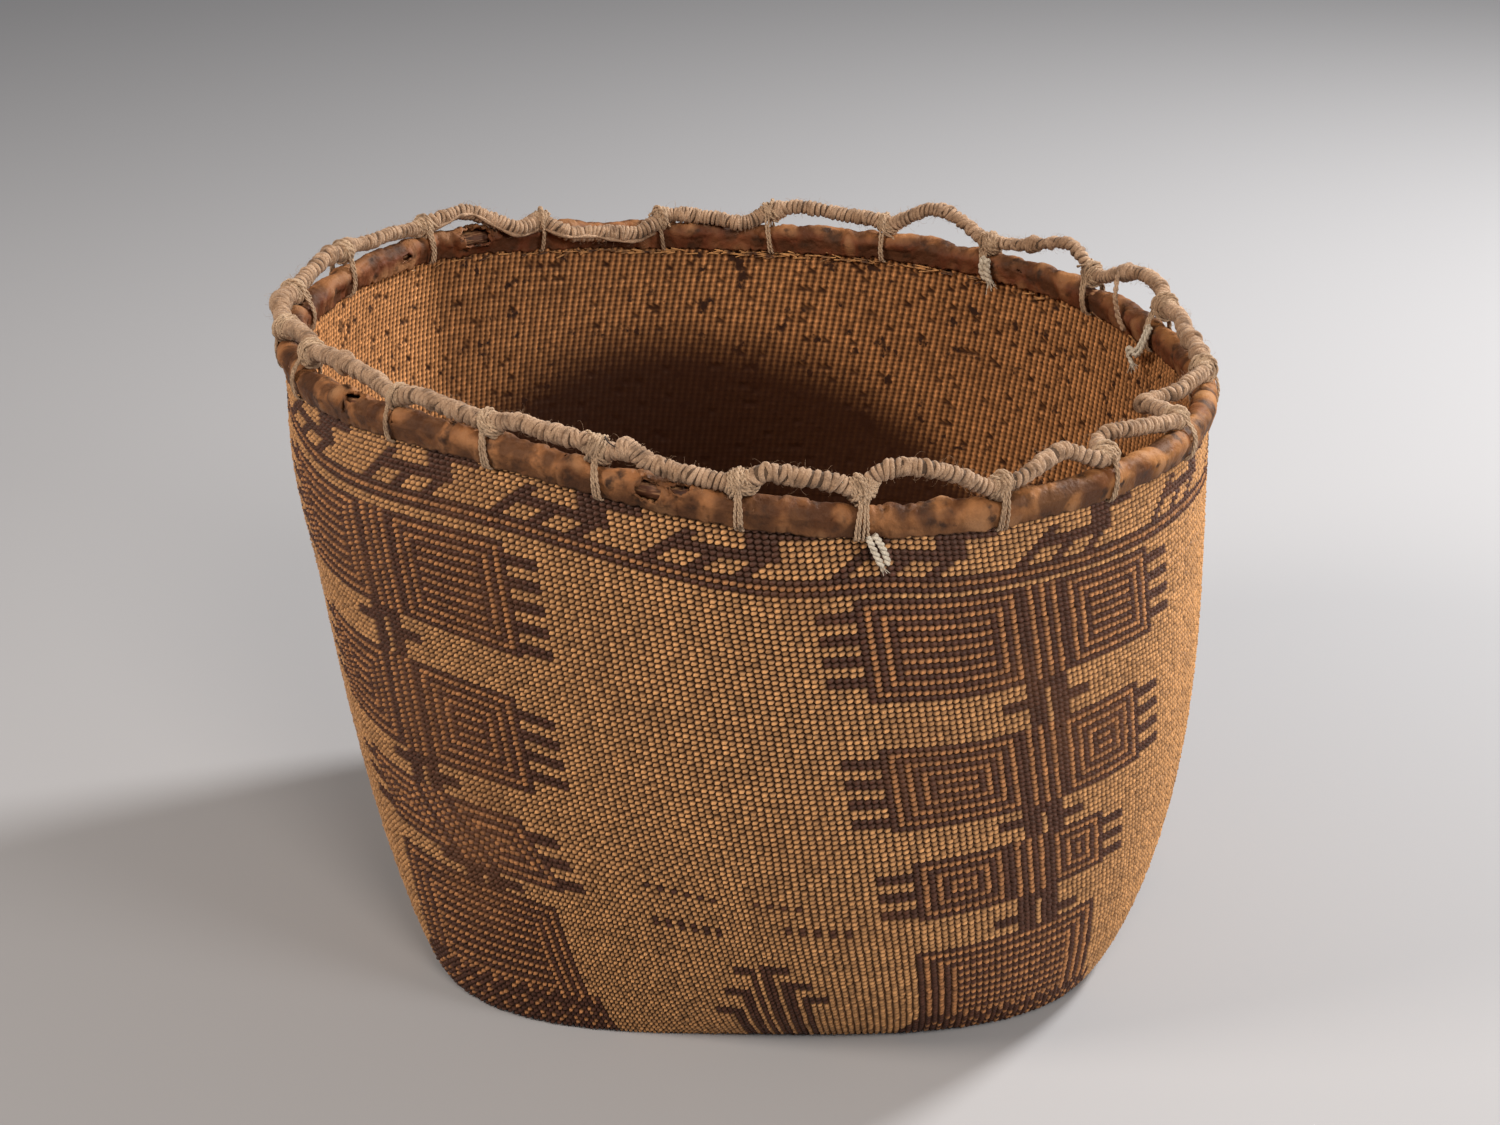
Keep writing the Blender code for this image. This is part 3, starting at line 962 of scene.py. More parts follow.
# %% [markdown]
# ## Placing the points of a band
# `band_points` looks up where each point belongs in its stitch, and moves it out from the wall, to
# the side and up by the tables. A worn stitch is pushed back until the upright under it shows. No
# point goes below the floor, or inside below the base's upper side.

# %% Points of a band
SUNK_INTO_WALL = 0.0001
WORN_TO = -0.0007
LOWEST_OUTSIDE = 0.00005
LOWEST_INSIDE = WALL * 0.8


def band_points(form, first_row, i, j, columns, levels, face_out):
    """The band's points on one face of the wall, and how deep each lies between stitches."""
    across, up = form["heights"].shape
    middle = wall_grid(columns, levels)
    out = outward_of(middle)
    above = np.gradient(middle, axis=1) * up
    looped = np.concatenate([middle[-2:-1], middle, middle[1:2]])
    beside = (looped[2:] - looped[:-2]) / 2 * across
    s = i % across
    t = j % up
    column = (i // across) % STITCHES
    row = np.clip(first_row + j // up, 0, ROWS - 1)
    height = form["heights"][s, t]
    rough = height * form["lift"] + stitch_lift[column, row] * (height > 0)
    depth = form["depths"][s, t]
    if not face_out:
        gone = worn_stitches[column, row] & (s > 0)
        rough = np.where(gone, WORN_TO, rough)
        depth = np.where(gone, worn_depth[column, row] * depth, depth)
    on_body = ((s > 0) & (t > 0)).astype(float)
    slide = form["slides"][s, t] + on_body * stitch_stray[0, column, row]
    climb = form["climbs"][s, t] + on_body * stitch_stray[1, column, row]
    side = 1.0 if face_out else -1.0
    at = middle[i, j] + above[i, j] * climb[:, None] + beside[i, j] * slide[:, None]
    at = at + out[i, j] * (side * (WALL / 2 - SUNK_INTO_WALL + rough))[:, None]
    at[:, 2] = np.maximum(at[:, 2], LOWEST_OUTSIDE if face_out else LOWEST_INSIDE)
    return at, depth


print("the outer face stands", round((WALL / 2 - SUNK_INTO_WALL) * 1000, 2), "mm from the wall's middle")

# %% [markdown]
# ## Weaving a band
# Now a band can be made: the grid, its points, and the attributes that the straw finish reads.
# `depth`, which sets the painted shade and dust between stitches, and the painted shadow inside
# change over a stitch and are kept on points. `dye` and `tone` belong to whole stitches and are
# kept on faces, so that a dark stitch ends sharply.

# %% Making one band


def woven_band(name, first_row, last_row, form, face_out, material):
    """A band of the weave on one face of the wall, from one row to another."""
    across, up = form["heights"].shape
    rows = last_row - first_row
    item, i, j = grid_piece(name, STITCHES * across, rows * up)
    columns = np.arange(STITCHES * across + 1) / across
    levels = first_row + np.arange(rows * up + 1) / up
    at, depth = band_points(form, first_row, i, j, columns, levels, face_out)
    place_points(item, at)
    add_attribute(item, "depth", depth, "POINT")
    # The painted shadow inside, kept on points
    add_attribute(item, "painted_shadow", painted_shadow_at(turn_of(columns[i], levels[j]), levels[j]), "POINT")
    corner = face_corners(item)
    face_i = i[corner].min(1)
    column = (face_i // across) % STITCHES
    row = first_row + j[corner].min(1) // up
    add_attribute(item, "dye", dye[column, row] if face_out else np.zeros(len(corner)), "FACE")
    tone = stitch_tone[column, row]
    # Inside, two patches of painted light are added to the tone
    if not face_out:
        tone = with_painted_light(tone, turn_of(columns[face_i], row), row)
    add_attribute(item, "tone", tone, "FACE")
    close_grid(item, face_out)
    return keep(item, material, "straw", "woven_body")


print("points on an outside band of 24 rows:", (STITCHES * 3 + 1) * (24 * 3 + 1))

# %% [markdown]
# ## The wall's two faces
# Nine faces a stitch make 850,000 triangles outside, and one mesh of that size would be thinned in
# the export. So the outside is made in five bands that meet edge to edge, and the inside in two.

# %% Seven bands
band_rows = (0, 24, 48, 72, 95, ROWS)
for number, (low, high) in enumerate(zip(band_rows, band_rows[1:])):
    woven_band(f"weave_outside_{number + 1}", low, high, outer_stitch, True, straw_outside)
woven_band("weave_inside_1", 0, 59, plain_rib, False, straw_inside)
woven_band("weave_inside_2", 59, ROWS, rib_and_knob, False, straw_inside)

# %% [markdown]
# ## The base
# Twining starts in the middle of the base and new uprights are put in as the circle grows. We
# keep that order: an inner disc with 100 stitches round, then a ring with 200. The under side and
# the upper side are made by the same function, one turned over.

# %% Base discs
BASE_TWIST = 0.03
BASE_LIFT = 0.00035
UNDER_LEVEL = 0.0004
OVER_LEVEL = WALL - 0.0003
BASE_PAINTED_SHADE = 0.85
RING_START = 0.45


def base_disc(name, share_in, share_out, count, rows, face_down, material):
    """A ring of the base between two shares of its size, with two by two points to a stitch."""
    item, i, j = grid_piece(name, count * 2, rows * 2)
    turn = FRONT + math.tau * (i % (count * 2)) / (count * 2) + BASE_TWIST * (j / 2)
    at = base_points(turn, share_in + (share_out - share_in) * j / (rows * 2))
    lift = BASE_LIFT * np.array([[-1.0, -0.3], [0.2, 1.0]])[i % 2, j % 2]
    at[:, 2] = (UNDER_LEVEL - lift) if face_down else (OVER_LEVEL + lift)
    place_points(item, at)
    faces = len(item.data.polygons)
    tone = np.repeat(chance.uniform(0.2, 0.8, faces // 4 + 1), 4)[:faces]
    add_attribute(item, "depth", rib_and_knob["depths"][i % 2, j % 2], "POINT")
    # The base's upper side gets painted shade all over, like the lower walls; the outside finish doesn't
    # read it
    add_attribute(item, "painted_shadow", np.full(len(i), BASE_PAINTED_SHADE), "POINT")
    add_attribute(item, "dye", np.zeros(faces), "FACE")
    add_attribute(item, "tone", tone, "FACE")
    close_grid(item, face_down)
    return keep(item, material, "straw", "woven_body")


for face_down, label, material in ((True, "under", straw_outside), (False, "over", straw_inside)):
    base_disc(f"base_{label}_inner", 0.0, RING_START, 100, 28, face_down, material)
    base_disc(f"base_{label}_ring", RING_START, 1.0, 200, 34, face_down, material)

# %% [markdown]
# ## Places on the rim
# The rest sits on the rim, so a point is best given as a maker would say it: so far round, so far
# out of the mouth, and so far up from the hoop. `on_rim` turns that into a place in the scene. The
# 21 lashings were counted in the photograph, and their angles read from it. `noise_row` gives a row
# of smooth chance numbers, for a thickness or a line that wanders a little.

# %% Rim helpers and the lashings' places
NOISE_REACH = 1.6
SMALL_TURN = 0.01
lashing_degrees = (
    -166.0, -142.1, -125.2, -108.4, -90.3, -76.1, -59.5, -43.5, -26.1, -5.2, 18.2,
    34.1, 53.0, 69.8, 86.5, 101.8, 119.0, 136.6, 154.0, 168.5, 181.0,
)
lashing_turns = [math.radians(angle) for angle in lashing_degrees]


def on_rim(angle, out, up):
    """Points beside the hoop: `out` of the mouth and `up` from its centre."""
    along = rim_points(angle + SMALL_TURN) - rim_points(angle - SMALL_TURN)
    along[:, 2] = 0
    along = along / np.linalg.norm(along, axis=1, keepdims=True)
    outward = np.stack([along[:, 1], -along[:, 0], np.zeros(len(along))], 1)
    level = rim_points(angle) + plan_middle + outward * np.asarray(out)[:, None]
    return level + np.array([0, 0, 1]) * np.asarray(up)[:, None]


def noise_row(count, step, seed):
    """Smooth chance numbers between about -1 and 1, a step apart."""
    return np.array([noise.noise(Vector((n * step, seed, 0.3))) for n in range(count)]) * NOISE_REACH


gaps = np.diff(lashing_degrees + (lashing_degrees[0] + 360,))
print("lashings:", len(lashing_turns), "widest gap in degrees:", round(float(gaps.max()), 1))

# %% [markdown]
# ## The hoop
# A peeled rod, seven millimetres thick, stiffens the mouth. Most of it is hidden, but it shows
# through the tears in the hide. A real rod was bent green and cut to length, so it has two ends
# that meet, a slightly uneven thickness and a grain that runs along it. The ends meet under a
# lashing, where a maker would hide them.

# %% Hoop
ROD_RADIUS = 0.00345
ROD_UNEVEN = 0.00006
ROD_STEPS = 500
ROD_END = 0.003


def rod_material():
    material, tree, shader = principled("peeled_rod", roughness=0.62)
    grain = noise_at(tree, scale=160.0, detail=4.0, stretch=(1.0, 1.0, 7.0))
    bark = (0.03, 0.010, 0.007, 1)
    worn = use_group(
        tree, stains, Color=(0.12, 0.045, 0.022, 1), Stain=bark, Scale=160.0, From=0.45, To=0.7
    )
    streak = stretched(tree, grain, low=0.5, high=0.72)
    pale_wood = (0.50, 0.27, 0.13, 1)
    feed(tree, shader.inputs["Base Color"], mix_colour(tree, streak, worn["Color"], pale_wood))
    bump(tree, shader, grain, distance=0.0003, strength=0.7)
    return material


joint = lashing_turns[7]
rod_turns = np.linspace(joint + ROD_END, joint + math.tau - ROD_END, ROD_STEPS)
level = np.zeros(ROD_STEPS)
rod_radii = ROD_RADIUS + ROD_UNEVEN * noise_row(ROD_STEPS, step=0.29, seed=4.0)
rod = string_mesh("hoop_rod", [(on_rim(rod_turns, level, level), rod_radii)], resolution=3)
keep(rod, rod_material(), "wood", "rim_hoop")

# %% [markdown]
# ## The hide's fold
# Strips of hide were folded over the rod while wet and dried there. We model one as a sheet: a
# grid is laid along the rim, wrapped over the rod's section, torn where the real one is torn,
# wrinkled with noise, and then thickened with a Solidify modifier, the way one gives any cloth or
# leather its body. The section comes first. It goes up one side of the wall, over the rod and down
# the other side. `section_at` finds the point that lies a given way round it, and which way is out.

# %% The fold's section
HIDE_OUT = 0.0049
HIDE_LEG = 0.0031
HIDE_DROP = 0.0066
SMALL_STEP = 0.0001
arc_turns = np.linspace(0, math.pi, 25)
section_x = np.concatenate([[HIDE_LEG], HIDE_OUT * np.cos(arc_turns), [-HIDE_LEG]])
section_y = np.concatenate([[-HIDE_DROP], HIDE_OUT * np.sin(arc_turns), [-HIDE_DROP]])
section_steps = np.hypot(np.diff(section_x), np.diff(section_y))
section_length = np.concatenate([[0], np.cumsum(section_steps)])
HIDE_AROUND = section_length[-1]


def section_at(way):
    """Points of the section, and directions out of it, a way round in metres."""
    x = np.interp(way, section_length, section_x)
    y = np.interp(way, section_length, section_y)
    ahead = np.clip(way + SMALL_STEP, 0, HIDE_AROUND)
    behind = np.clip(way - SMALL_STEP, 0, HIDE_AROUND)
    run_x = np.interp(ahead, section_length, section_x) - np.interp(behind, section_length, section_x)
    run_y = np.interp(ahead, section_length, section_y) - np.interp(behind, section_length, section_y)
    run = np.hypot(run_x, run_y)
    return x, y, run_y / run, -run_x / run


print("the hide's width round the fold in mm:", round(HIDE_AROUND * 1000, 1))

# %% [markdown]
# ## Tears
# Dried hide splits, and the edges of a split curl up. A hole that is only cut out of the grid would
# have a stepped edge. So the points inside a tear are pushed out to its ragged edge first, and the
# faces that are then left with no size are deleted later. Each row of `tears` is a place in
# degrees, how far up the section it lies, half its width and height, and how high its edge curls.

# %% Tears in the hide
tears = (
    (-101.2, 0.0080, 0.0050, 0.0034, 0.0017),
    (-97.3, 0.0112, 0.0040, 0.0020, 0.0014),
    (-150.2, 0.0122, 0.0046, 0.0022, 0.0012),
    (-151.6, 0.0078, 0.0013, 0.0026, 0.0006),
    (-131.5, 0.0138, 0.0024, 0.0009, 0.0004),
    (-112.8, 0.0132, 0.0016, 0.0008, 0.0003),
    (-13.5, 0.0080, 0.0006, 0.0005, 0.0002),
    (129.4, 0.0200, 0.0075, 0.0032, 0.0026),
    (142.0, 0.0225, 0.0030, 0.0014, 0.0010),
    (47.0, 0.0215, 0.0022, 0.0009, 0.0004),
)
TEAR_RAGGED = 0.35
TEAR_NOISE = 520.0
CURL_END = 1.9
TEAR_END = 2.2
UNTORN = 9.0


def noise_at_points(points, scale, seed):
    shift = Vector((seed, seed * 0.7, 0))
    return np.array([noise.noise(Vector(point) * scale + shift) for point in points]) * NOISE_REACH


def tear_open(angle, way):
    """Moves points off the tears. Also gives the curl's height, and how far each is from a tear."""
    lift = np.zeros(len(angle))
    nearest = np.full(len(angle), UNTORN)
    for degrees, middle, half_wide, half_high, curl in tears:
        beside = short_way(angle - math.radians(degrees)) * RIM_RADIUS
        above = way - middle
        reach = np.hypot(beside / half_wide, above / half_high)
        near = reach < TEAR_END
        if not near.any():
            continue
        ragged = np.ones(len(angle))
        spots = np.stack([beside, above, np.zeros(len(angle))], 1)[near]
        ragged[near] = 1 + TEAR_RAGGED * noise_at_points(spots, TEAR_NOISE, degrees)
        reach = reach / ragged
        grow = np.where(reach < 1, 1 / np.maximum(reach, 0.05), 1.0)
        angle = angle + beside * (grow - 1) / RIM_RADIUS
        way = way + above * (grow - 1)
        nearest = np.minimum(nearest, reach)
        lift += curl * np.clip((CURL_END - reach) / (CURL_END - 1), 0, 1) * np.clip(reach, 0, 1)
    return angle, np.clip(way, 0, HIDE_AROUND), lift, nearest


print("tears:", len(tears), "longest in mm:", max(row[2] for row in tears) * 2000)

# %% [markdown]
# ## Wrinkles
# Between lashings the skin puffs up a little, and each lashing pinches it. Three sizes of noise
# make the rest: broad dents, folds and fine creases. Where a fold's noise passes through one value
# the hide gets a sharp groove, which is how dried skin folds. At the front right the hide lies
# calmer and is more golden, so `calm` takes the wrinkles down there.

# %% Wrinkles in the hide
PINCH = 0.0004
PINCH_WIDTH = 0.0024
PUFF = 0.0003
PUFF_WIDTH = 0.007
FOLD = 0.00082
CREASE = 0.00026
DENT = 0.00140
FOLD_GROOVE = 0.00065
DENT_GROOVE = 0.00040
END_CURL = 0.0008
END_CURL_FROM = 0.004
END_CURL_WIDTH = 0.003
CALMER_BY = 0.55
# Each noise: how fine it is along the rim, how fine round the fold, and its seed. The creases have
# a place in the third direction too, so that they don't follow the folds
fold_noise = (150, 2.4, 2.0)
crease_noise = (420, 7, 5.0, 3.0)
dent_noise = (62, 2.8, 21.0)
golden_middle = math.radians(-18)
GOLDEN_HALF_TURN = 0.75


def hide_noise(angle, share, along, around, seed, third=0.0):
    """Noise on the hide. `along` and `around` say how fine it is along the rim and round it."""
    spots = np.stack([angle * RIM_RADIUS * along, share * around, np.full(len(angle), third)], 1)
    return noise_at_points(spots, 1.0, seed)


def near_lashing(angle):
    """Distance along the rim to the nearest lashing, in metres."""
    away = np.abs(short_way(angle[:, None] - np.array(lashing_turns)))
    return away.min(1) * RIM_RADIUS


def golden_at(angle):
    return bell(short_way(angle - golden_middle), GOLDEN_HALF_TURN)


def wrinkle(angle, share, lift, end):
    """The lift with the wrinkles added, and the folds and dents that the finish needs."""
    near = near_lashing(angle)
    middle = np.sin(math.pi * share)
    folds = hide_noise(angle, share, *fold_noise)
    creases = hide_noise(angle, share, *crease_noise)
    dents = hide_noise(angle, share, *dent_noise)
    calm = 1 - CALMER_BY * golden_at(angle)
    lift = lift - PINCH * bell(near, PINCH_WIDTH)
    lift = lift + PUFF * (1 - bell(near, PUFF_WIDTH)) * middle
    over_rod = 0.35 + 0.65 * middle
    lift = lift + (FOLD * folds + CREASE * creases + DENT * dents) * over_rod * calm
    lift = lift - FOLD_GROOVE * bell(folds - 0.05, 0.08) * calm
    lift = lift - DENT_GROOVE * bell(dents + 0.1, 0.07)
    past_end = (angle - end) * RIM_RADIUS
    lift = lift + END_CURL * ease((past_end + END_CURL_FROM) / END_CURL_WIDTH)
    return lift, folds, dents


print("the hide stands off the fold by up to about", round((FOLD + CREASE + DENT) * 1000, 1), "mm")

# %% [markdown]
# ## The hide's finish
# The hide is brown in patches and more golden at the front right. Its outer lower edge is painted
# darker, as shade, and its inner face, inside the mouth, darker and redder, as the mouth's shade.
# Its crests are painted pale, partly as wear and partly as highlight, and its hollows dark, partly
# as dirt and partly as shade, so the finish reads how high each point lies. Fine pores and a ripple
# in the bump give dried skin its dull shine.

# %% Hide material
BROWN = ((0.34, 0.145, 0.056, 1), (0.080, 0.027, 0.010, 1))
GOLDEN = ((0.40, 0.175, 0.054, 1), (0.20, 0.068, 0.019, 1))
LOW_EDGE_SHADE = (0.09, 0.036, 0.015, 1)
RED_INSIDE_SHADE = (0.125, 0.030, 0.013, 1)
PALE_CREST_AND_HIGHLIGHT = (0.52, 0.27, 0.125, 1)
HOLLOW_DIRT_AND_SHADE = (0.05, 0.018, 0.008, 1)
DIRT = (0.030, 0.014, 0.009, 1)
PORE = (0.12, 0.06, 0.03, 1)


def layered(tree, below, above, mask, strength):
    """One colour over another, by a mask and a strength."""
    return mix_colour(tree, sums(tree, "MULTIPLY", mask, strength), below, above)


def make_hide_material():
    material, tree, shader = principled("dried_hide", roughness=0.60, gloss=0.15)
    way_round = attribute(tree, "round")
    crest = attribute(tree, "crease")
    # Masks for the painted shade at the outer lower edge and on the inner face
    low_edge_shade = sums(tree, "MULTIPLY_ADD", way_round, -5.0, 1.25, clamp=True)
    inner = sums(tree, "MULTIPLY_ADD", way_round, 6.0, -3.5, clamp=True)
    patch = stretched(tree, noise_at(tree, scale=70.0, detail=5.0), low=0.42, high=0.60)
    brown = mix_colour(tree, patch, *BROWN)
    golden = mix_colour(tree, patch, *GOLDEN)
    colour = mix_colour(tree, attribute(tree, "gold"), brown, golden)
    # Painted shade: the outer lower edge darker, the inner face darker and redder
    colour = layered(tree, colour, LOW_EDGE_SHADE, low_edge_shade, 0.6)
    colour = layered(tree, colour, RED_INSIDE_SHADE, inner, 0.8)
    # Crests painted pale as wear and highlight, hollows painted dark as dirt and shade
    colour = layered(tree, colour, PALE_CREST_AND_HIGHLIGHT, stretched(tree, crest, low=0.6, high=0.95), 0.6)
    colour = layered(tree, colour, HOLLOW_DIRT_AND_SHADE, stretched(tree, crest, low=0.52, high=0.34), 0.75)
    worn = use_group(tree, stains, Color=colour, Stain=DIRT, Scale=150.0, From=0.56, To=0.70)
    pores = use_group(tree, fibres, Color=worn["Color"], Shade=PORE, Scale=1500.0, Amount=0.4)
    feed(tree, shader.inputs["Base Color"], pores["Color"])
    pore_height = sums(tree, "MULTIPLY", pores["Height"], 0.3)
    height = sums(tree, "ADD", noise_at(tree, scale=420.0, detail=5.0), pore_height)
    bump(tree, shader, height, distance=0.0008, strength=0.8)
    return material


hide_material = make_hide_material()
print("hide material:", hide_material.name, "with", len(hide_material.node_tree.nodes), "nodes")

# %% [markdown]
# ## From a sheet to hide
# Two steps turn the placed sheet into hide. The faces inside the tears are deleted with bmesh,
# which can pick them by the numbers of their points. Then Solidify gives the sheet its thickness,
# inwards, so that the outside stays where it was placed.

# %% Opening tears and giving thickness
HIDE_THICK = 0.0009
NO_SIZE = 0.00002


def open_tears(item, nearest):
    """Deletes the faces that lie wholly inside a tear."""
    gone = {int(n) for n in np.nonzero(nearest < 1)[0]}
    mesh = bmesh.new()
    mesh.from_mesh(item.data)
    lost = [face for face in mesh.faces if all(vert.index in gone for vert in face.verts)]
    bmesh.ops.delete(mesh, geom=lost, context="FACES")
    bmesh.ops.dissolve_degenerate(mesh, edges=mesh.edges, dist=NO_SIZE)
    mesh.to_mesh(item.data)
    mesh.free()


def thicken(item):
    bpy.context.view_layer.objects.active = item
    thick = item.modifiers.new("thickness", "SOLIDIFY")
    thick.thickness = HIDE_THICK
    thick.offset = -1
    bpy.ops.object.modifier_apply(modifier="thickness")
    bpy.ops.object.shade_smooth()


print("hide thickness in mm:", HIDE_THICK * 1000)

# %% [markdown]
# ## Three strips
# Now the steps come together. The two lower edges of the sheet are trimmed unevenly, as cut hide
# is. The strips meet at three lashings. Each runs a millimetre and a half past its joints, so they
# lap there, and one end curls over the next.

# %% Hide strips
HIDE_FACE = 0.00075
HIDE_ROWS = 38
LAP_TURN = 0.009
TRIM_OUTSIDE = 0.0006
TRIM_INSIDE = 0.0010
LONGER_INSIDE = 0.0004
LEAST_LIFT_LOW = -0.0002
LOW_SHARE = 0.25
EDGE_SHARE = 0.2
outer_trim_noise = (300, 0, 9.0)
inner_trim_noise = (420, 0, 14.0)


def hide_strip(name, node, start, end):
    """A strip from one joint to the next, lapping over at both."""
    span = (end - start) % math.tau
    across = int(span * RIM_RADIUS / HIDE_FACE)
    item, i, j = grid_piece(name, across, HIDE_ROWS)
    angle = start - LAP_TURN + (span + LAP_TURN + LAP_TURN) * i / across
    angle, way, lift, nearest = tear_open(angle, HIDE_AROUND * j / HIDE_ROWS)
    share = way / HIDE_AROUND
    lift, folds, dents = wrinkle(angle, share, lift, start + span)
    trimmed_out = TRIM_OUTSIDE * hide_noise(angle, share, *outer_trim_noise)
    trimmed_in = TRIM_INSIDE * hide_noise(angle, share, *inner_trim_noise) + LONGER_INSIDE
    x, y, normal_x, normal_y = section_at(way)
    x = x + normal_x * np.where(share < LOW_SHARE, np.maximum(LEAST_LIFT_LOW, lift), lift)
    y = y + normal_y * lift + trimmed_out * np.clip(1 - share / EDGE_SHARE, 0, 1)
    y = y - trimmed_in * np.clip(1 - (1 - share) / EDGE_SHARE, 0, 1)
    place_points(item, on_rim(angle, x, y) - plan_middle)
    add_attribute(item, "round", share, "POINT")
    add_attribute(item, "crease", np.clip(0.5 + 0.28 * folds + 0.28 * dents, 0, 1), "POINT")
    add_attribute(item, "gold", golden_at(angle), "POINT")
    open_tears(item, nearest)
    thicken(item)
    return keep(item, hide_material, "hide", node)


joints = [lashing_turns[number] for number in (7, 17, 1)]
for number, start in enumerate(joints):
    hide_strip(f"hide_{number + 1}", f"hide_strip_0{number + 1}", start, joints[(number + 1) % 3])

# %% [markdown]
# ## The wrapped cord's arches
# The cord on top is a bundle of fibre wound with soft string, laid in scallops: it is held down at
# each lashing and arches up between two. No two arches are alike. At the right they flop far into
# the mouth, one at the back lies along the inner face of the hide, and two at the back stand high.
# `arches` lists, gap by gap, places along the way: the share of the gap, then millimetres out of
# the mouth and millimetres above the seat.

# %% Arches, gap by gap
arches = (
    ((0, -2.5, 2), (0.15, -4, 5.2), (0.3, -4.5, 5.4), (0.5, -5, 4.6), (0.75, -4, 4), (0.9, -1.5, 2)),
    ((0, 0, 0.5), (0.12, -0.5, 2.6), (0.25, 0, 4.4), (0.5, 0.5, 3), (0.75, 0.5, 2), (0.9, 0, 0.8)),
    ((0, 0, 0), (0.12, 0, 2.6), (0.25, 0, 4.0), (0.5, 0, 3.5), (0.75, 0, 3.6), (0.9, 0, 4)),
    ((0, 0, 0.8), (0.10, 0, 2.4), (0.22, 0, 5.6), (0.33, 0, 2.6), (0.5, 0, 0.9), (0.75, 0, 0.4)),
    ((0, 0, 0), (0.1, 0, 3.5), (0.2, 0, 7.2), (0.5, 0, 5.8), (0.75, 0, 5.5), (0.92, 0, 2.5)),
    ((0, 0, 1.5), (0.1, -2, 8.5), (0.25, -2.5, 10.4), (0.5, -2, 9), (0.7, -1, 5.5), (0.87, 0, 0.5)),
    (
        (0, 0, 0), (0.12, 0, 1.5), (0.25, -1, 2.8), (0.4, -3, 4.5),
        (0.5, -4, 6), (0.65, -5, 6.2), (0.77, -4, 3.5), (0.9, 0, 0.3),
    ),
    (
        (0, 0, 0), (0.08, -6, 0.6), (0.2, -15, -0.6), (0.35, -12.5, 2.9),
        (0.5, -9, 2.2), (0.7, -5, 1.5), (0.88, -2, 0.3),
    ),
    (
        (0, 0, 0), (0.10, -10, 0.6), (0.25, -21, -1), (0.4, -17, -0.6),
        (0.55, -9.5, 0.3), (0.75, -6, 1), (0.9, -2, 1),
    ),
    ((0, 0, 0.5), (0.12, -1, 3), (0.25, -1, 3.5), (0.5, -1.7, 3.7), (0.75, 2, 5), (0.9, 2.5, 4)),
    (
        (0, 2.5, 3), (0.1, 5, 6), (0.2, 6.5, 8), (0.35, 6.2, 9.8),
        (0.5, 4.2, 10), (0.65, 1.5, 8), (0.8, -1, 3.5), (0.9, -0.5, 2),
    ),
    (
        (0, 0, 1), (0.1, 0, 7), (0.25, 0, 11.5), (0.4, 0, 9.4),
        (0.5, 0, 7.2), (0.62, 0, 4.8), (0.75, 0, 3), (0.9, 0, 1.5),
    ),
    (
        (0, 0, 0), (0.1, 0, 2.4), (0.25, 0, 6.5), (0.4, 0, 10.4),
        (0.5, 0, 11.4), (0.6, 0, 10.8), (0.75, 0, 7), (0.9, 0, 2.6),
    ),
    (
        (0, 0, 0.5), (0.06, 0, 3.5), (0.25, 0, 3), (0.5, 0, 4.8),
        (0.75, 0, 6.4), (0.88, 0, 5), (0.95, 0, 3),
    ),
    (
        (0, 0, 3), (0.06, 0, 2.5), (0.14, -4.5, -0.3), (0.25, -6.2, -1.5),
        (0.5, -4, 0.4), (0.75, -2, 0.8), (0.9, -1.5, 1.2),
    ),
    ((0, -2, -0.5), (0.08, -6, -3), (0.2, -8.4, -6.2), (0.5, -8.6, -6.6), (0.8, -8.4, -6.2), (0.93, -6, -3)),
    (
        (0, -2, 0), (0.12, -5.5, -2.2), (0.25, -7.6, -3.3), (0.35, -5.5, -0.8),
        (0.5, -0.5, 2.7), (0.62, 0, 4.9), (0.75, 0, 4.6), (0.9, 0, 2.5),
    ),
    ((0, 0, 0.5), (0.1, 0, 1), (0.25, 0, 1.7), (0.5, 0, 2.1), (0.75, 0, 2.8), (0.9, 0, 5)),
    ((0, 0, 3.2), (0.12, 0.5, 5), (0.25, 1, 5.2), (0.5, 1, 3.8), (0.75, 1.8, 2.8), (0.9, 2.4, 2.8)),
    ((0, 2.2, 2), (0.25, 4.6, 3.5), (0.5, 4.7, 3.3), (0.75, 2.7, 1.7)),
    ((0, 1, 0.5), (0.25, -2.2, 3.8), (0.5, -4.3, 4.4), (0.75, -5, 3.4), (0.9, -4, 2.6)),
)
GAPS = len(arches)
print("gaps:", GAPS, "highest arch in mm:", max(up for stations in arches for _, _, up in stations))

# %% [markdown]
# ## The cord's path
# Between the listed places the cord runs straight at first. Then its corners are rounded, each
# point being averaged with its neighbours, because a soft cord never kinks. Along the finished
# path we keep three directions at every point: onwards, sideways and up. With them anything can be
# wound round the cord.

# %% Cord path
MILLIMETRE = 0.001
GAP_STEPS = 80
ROUNDING_STEPS = 15
CORD_SEAT = 0.0081
WANDER_OUT = 0.00035
WANDER_UP = 0.00030


def relaxed(values, width):
    """A closed row of numbers with its corners rounded by averaging each with its neighbours."""
    weights = np.hanning(width + 2)[1:-1]
    looped = np.concatenate([values[-width:], values, values[:width]])
    return np.convolve(looped, weights / weights.sum(), "same")[width:-width]


def of_length_one(rows):
    return rows / np.linalg.norm(rows, axis=1, keepdims=True)


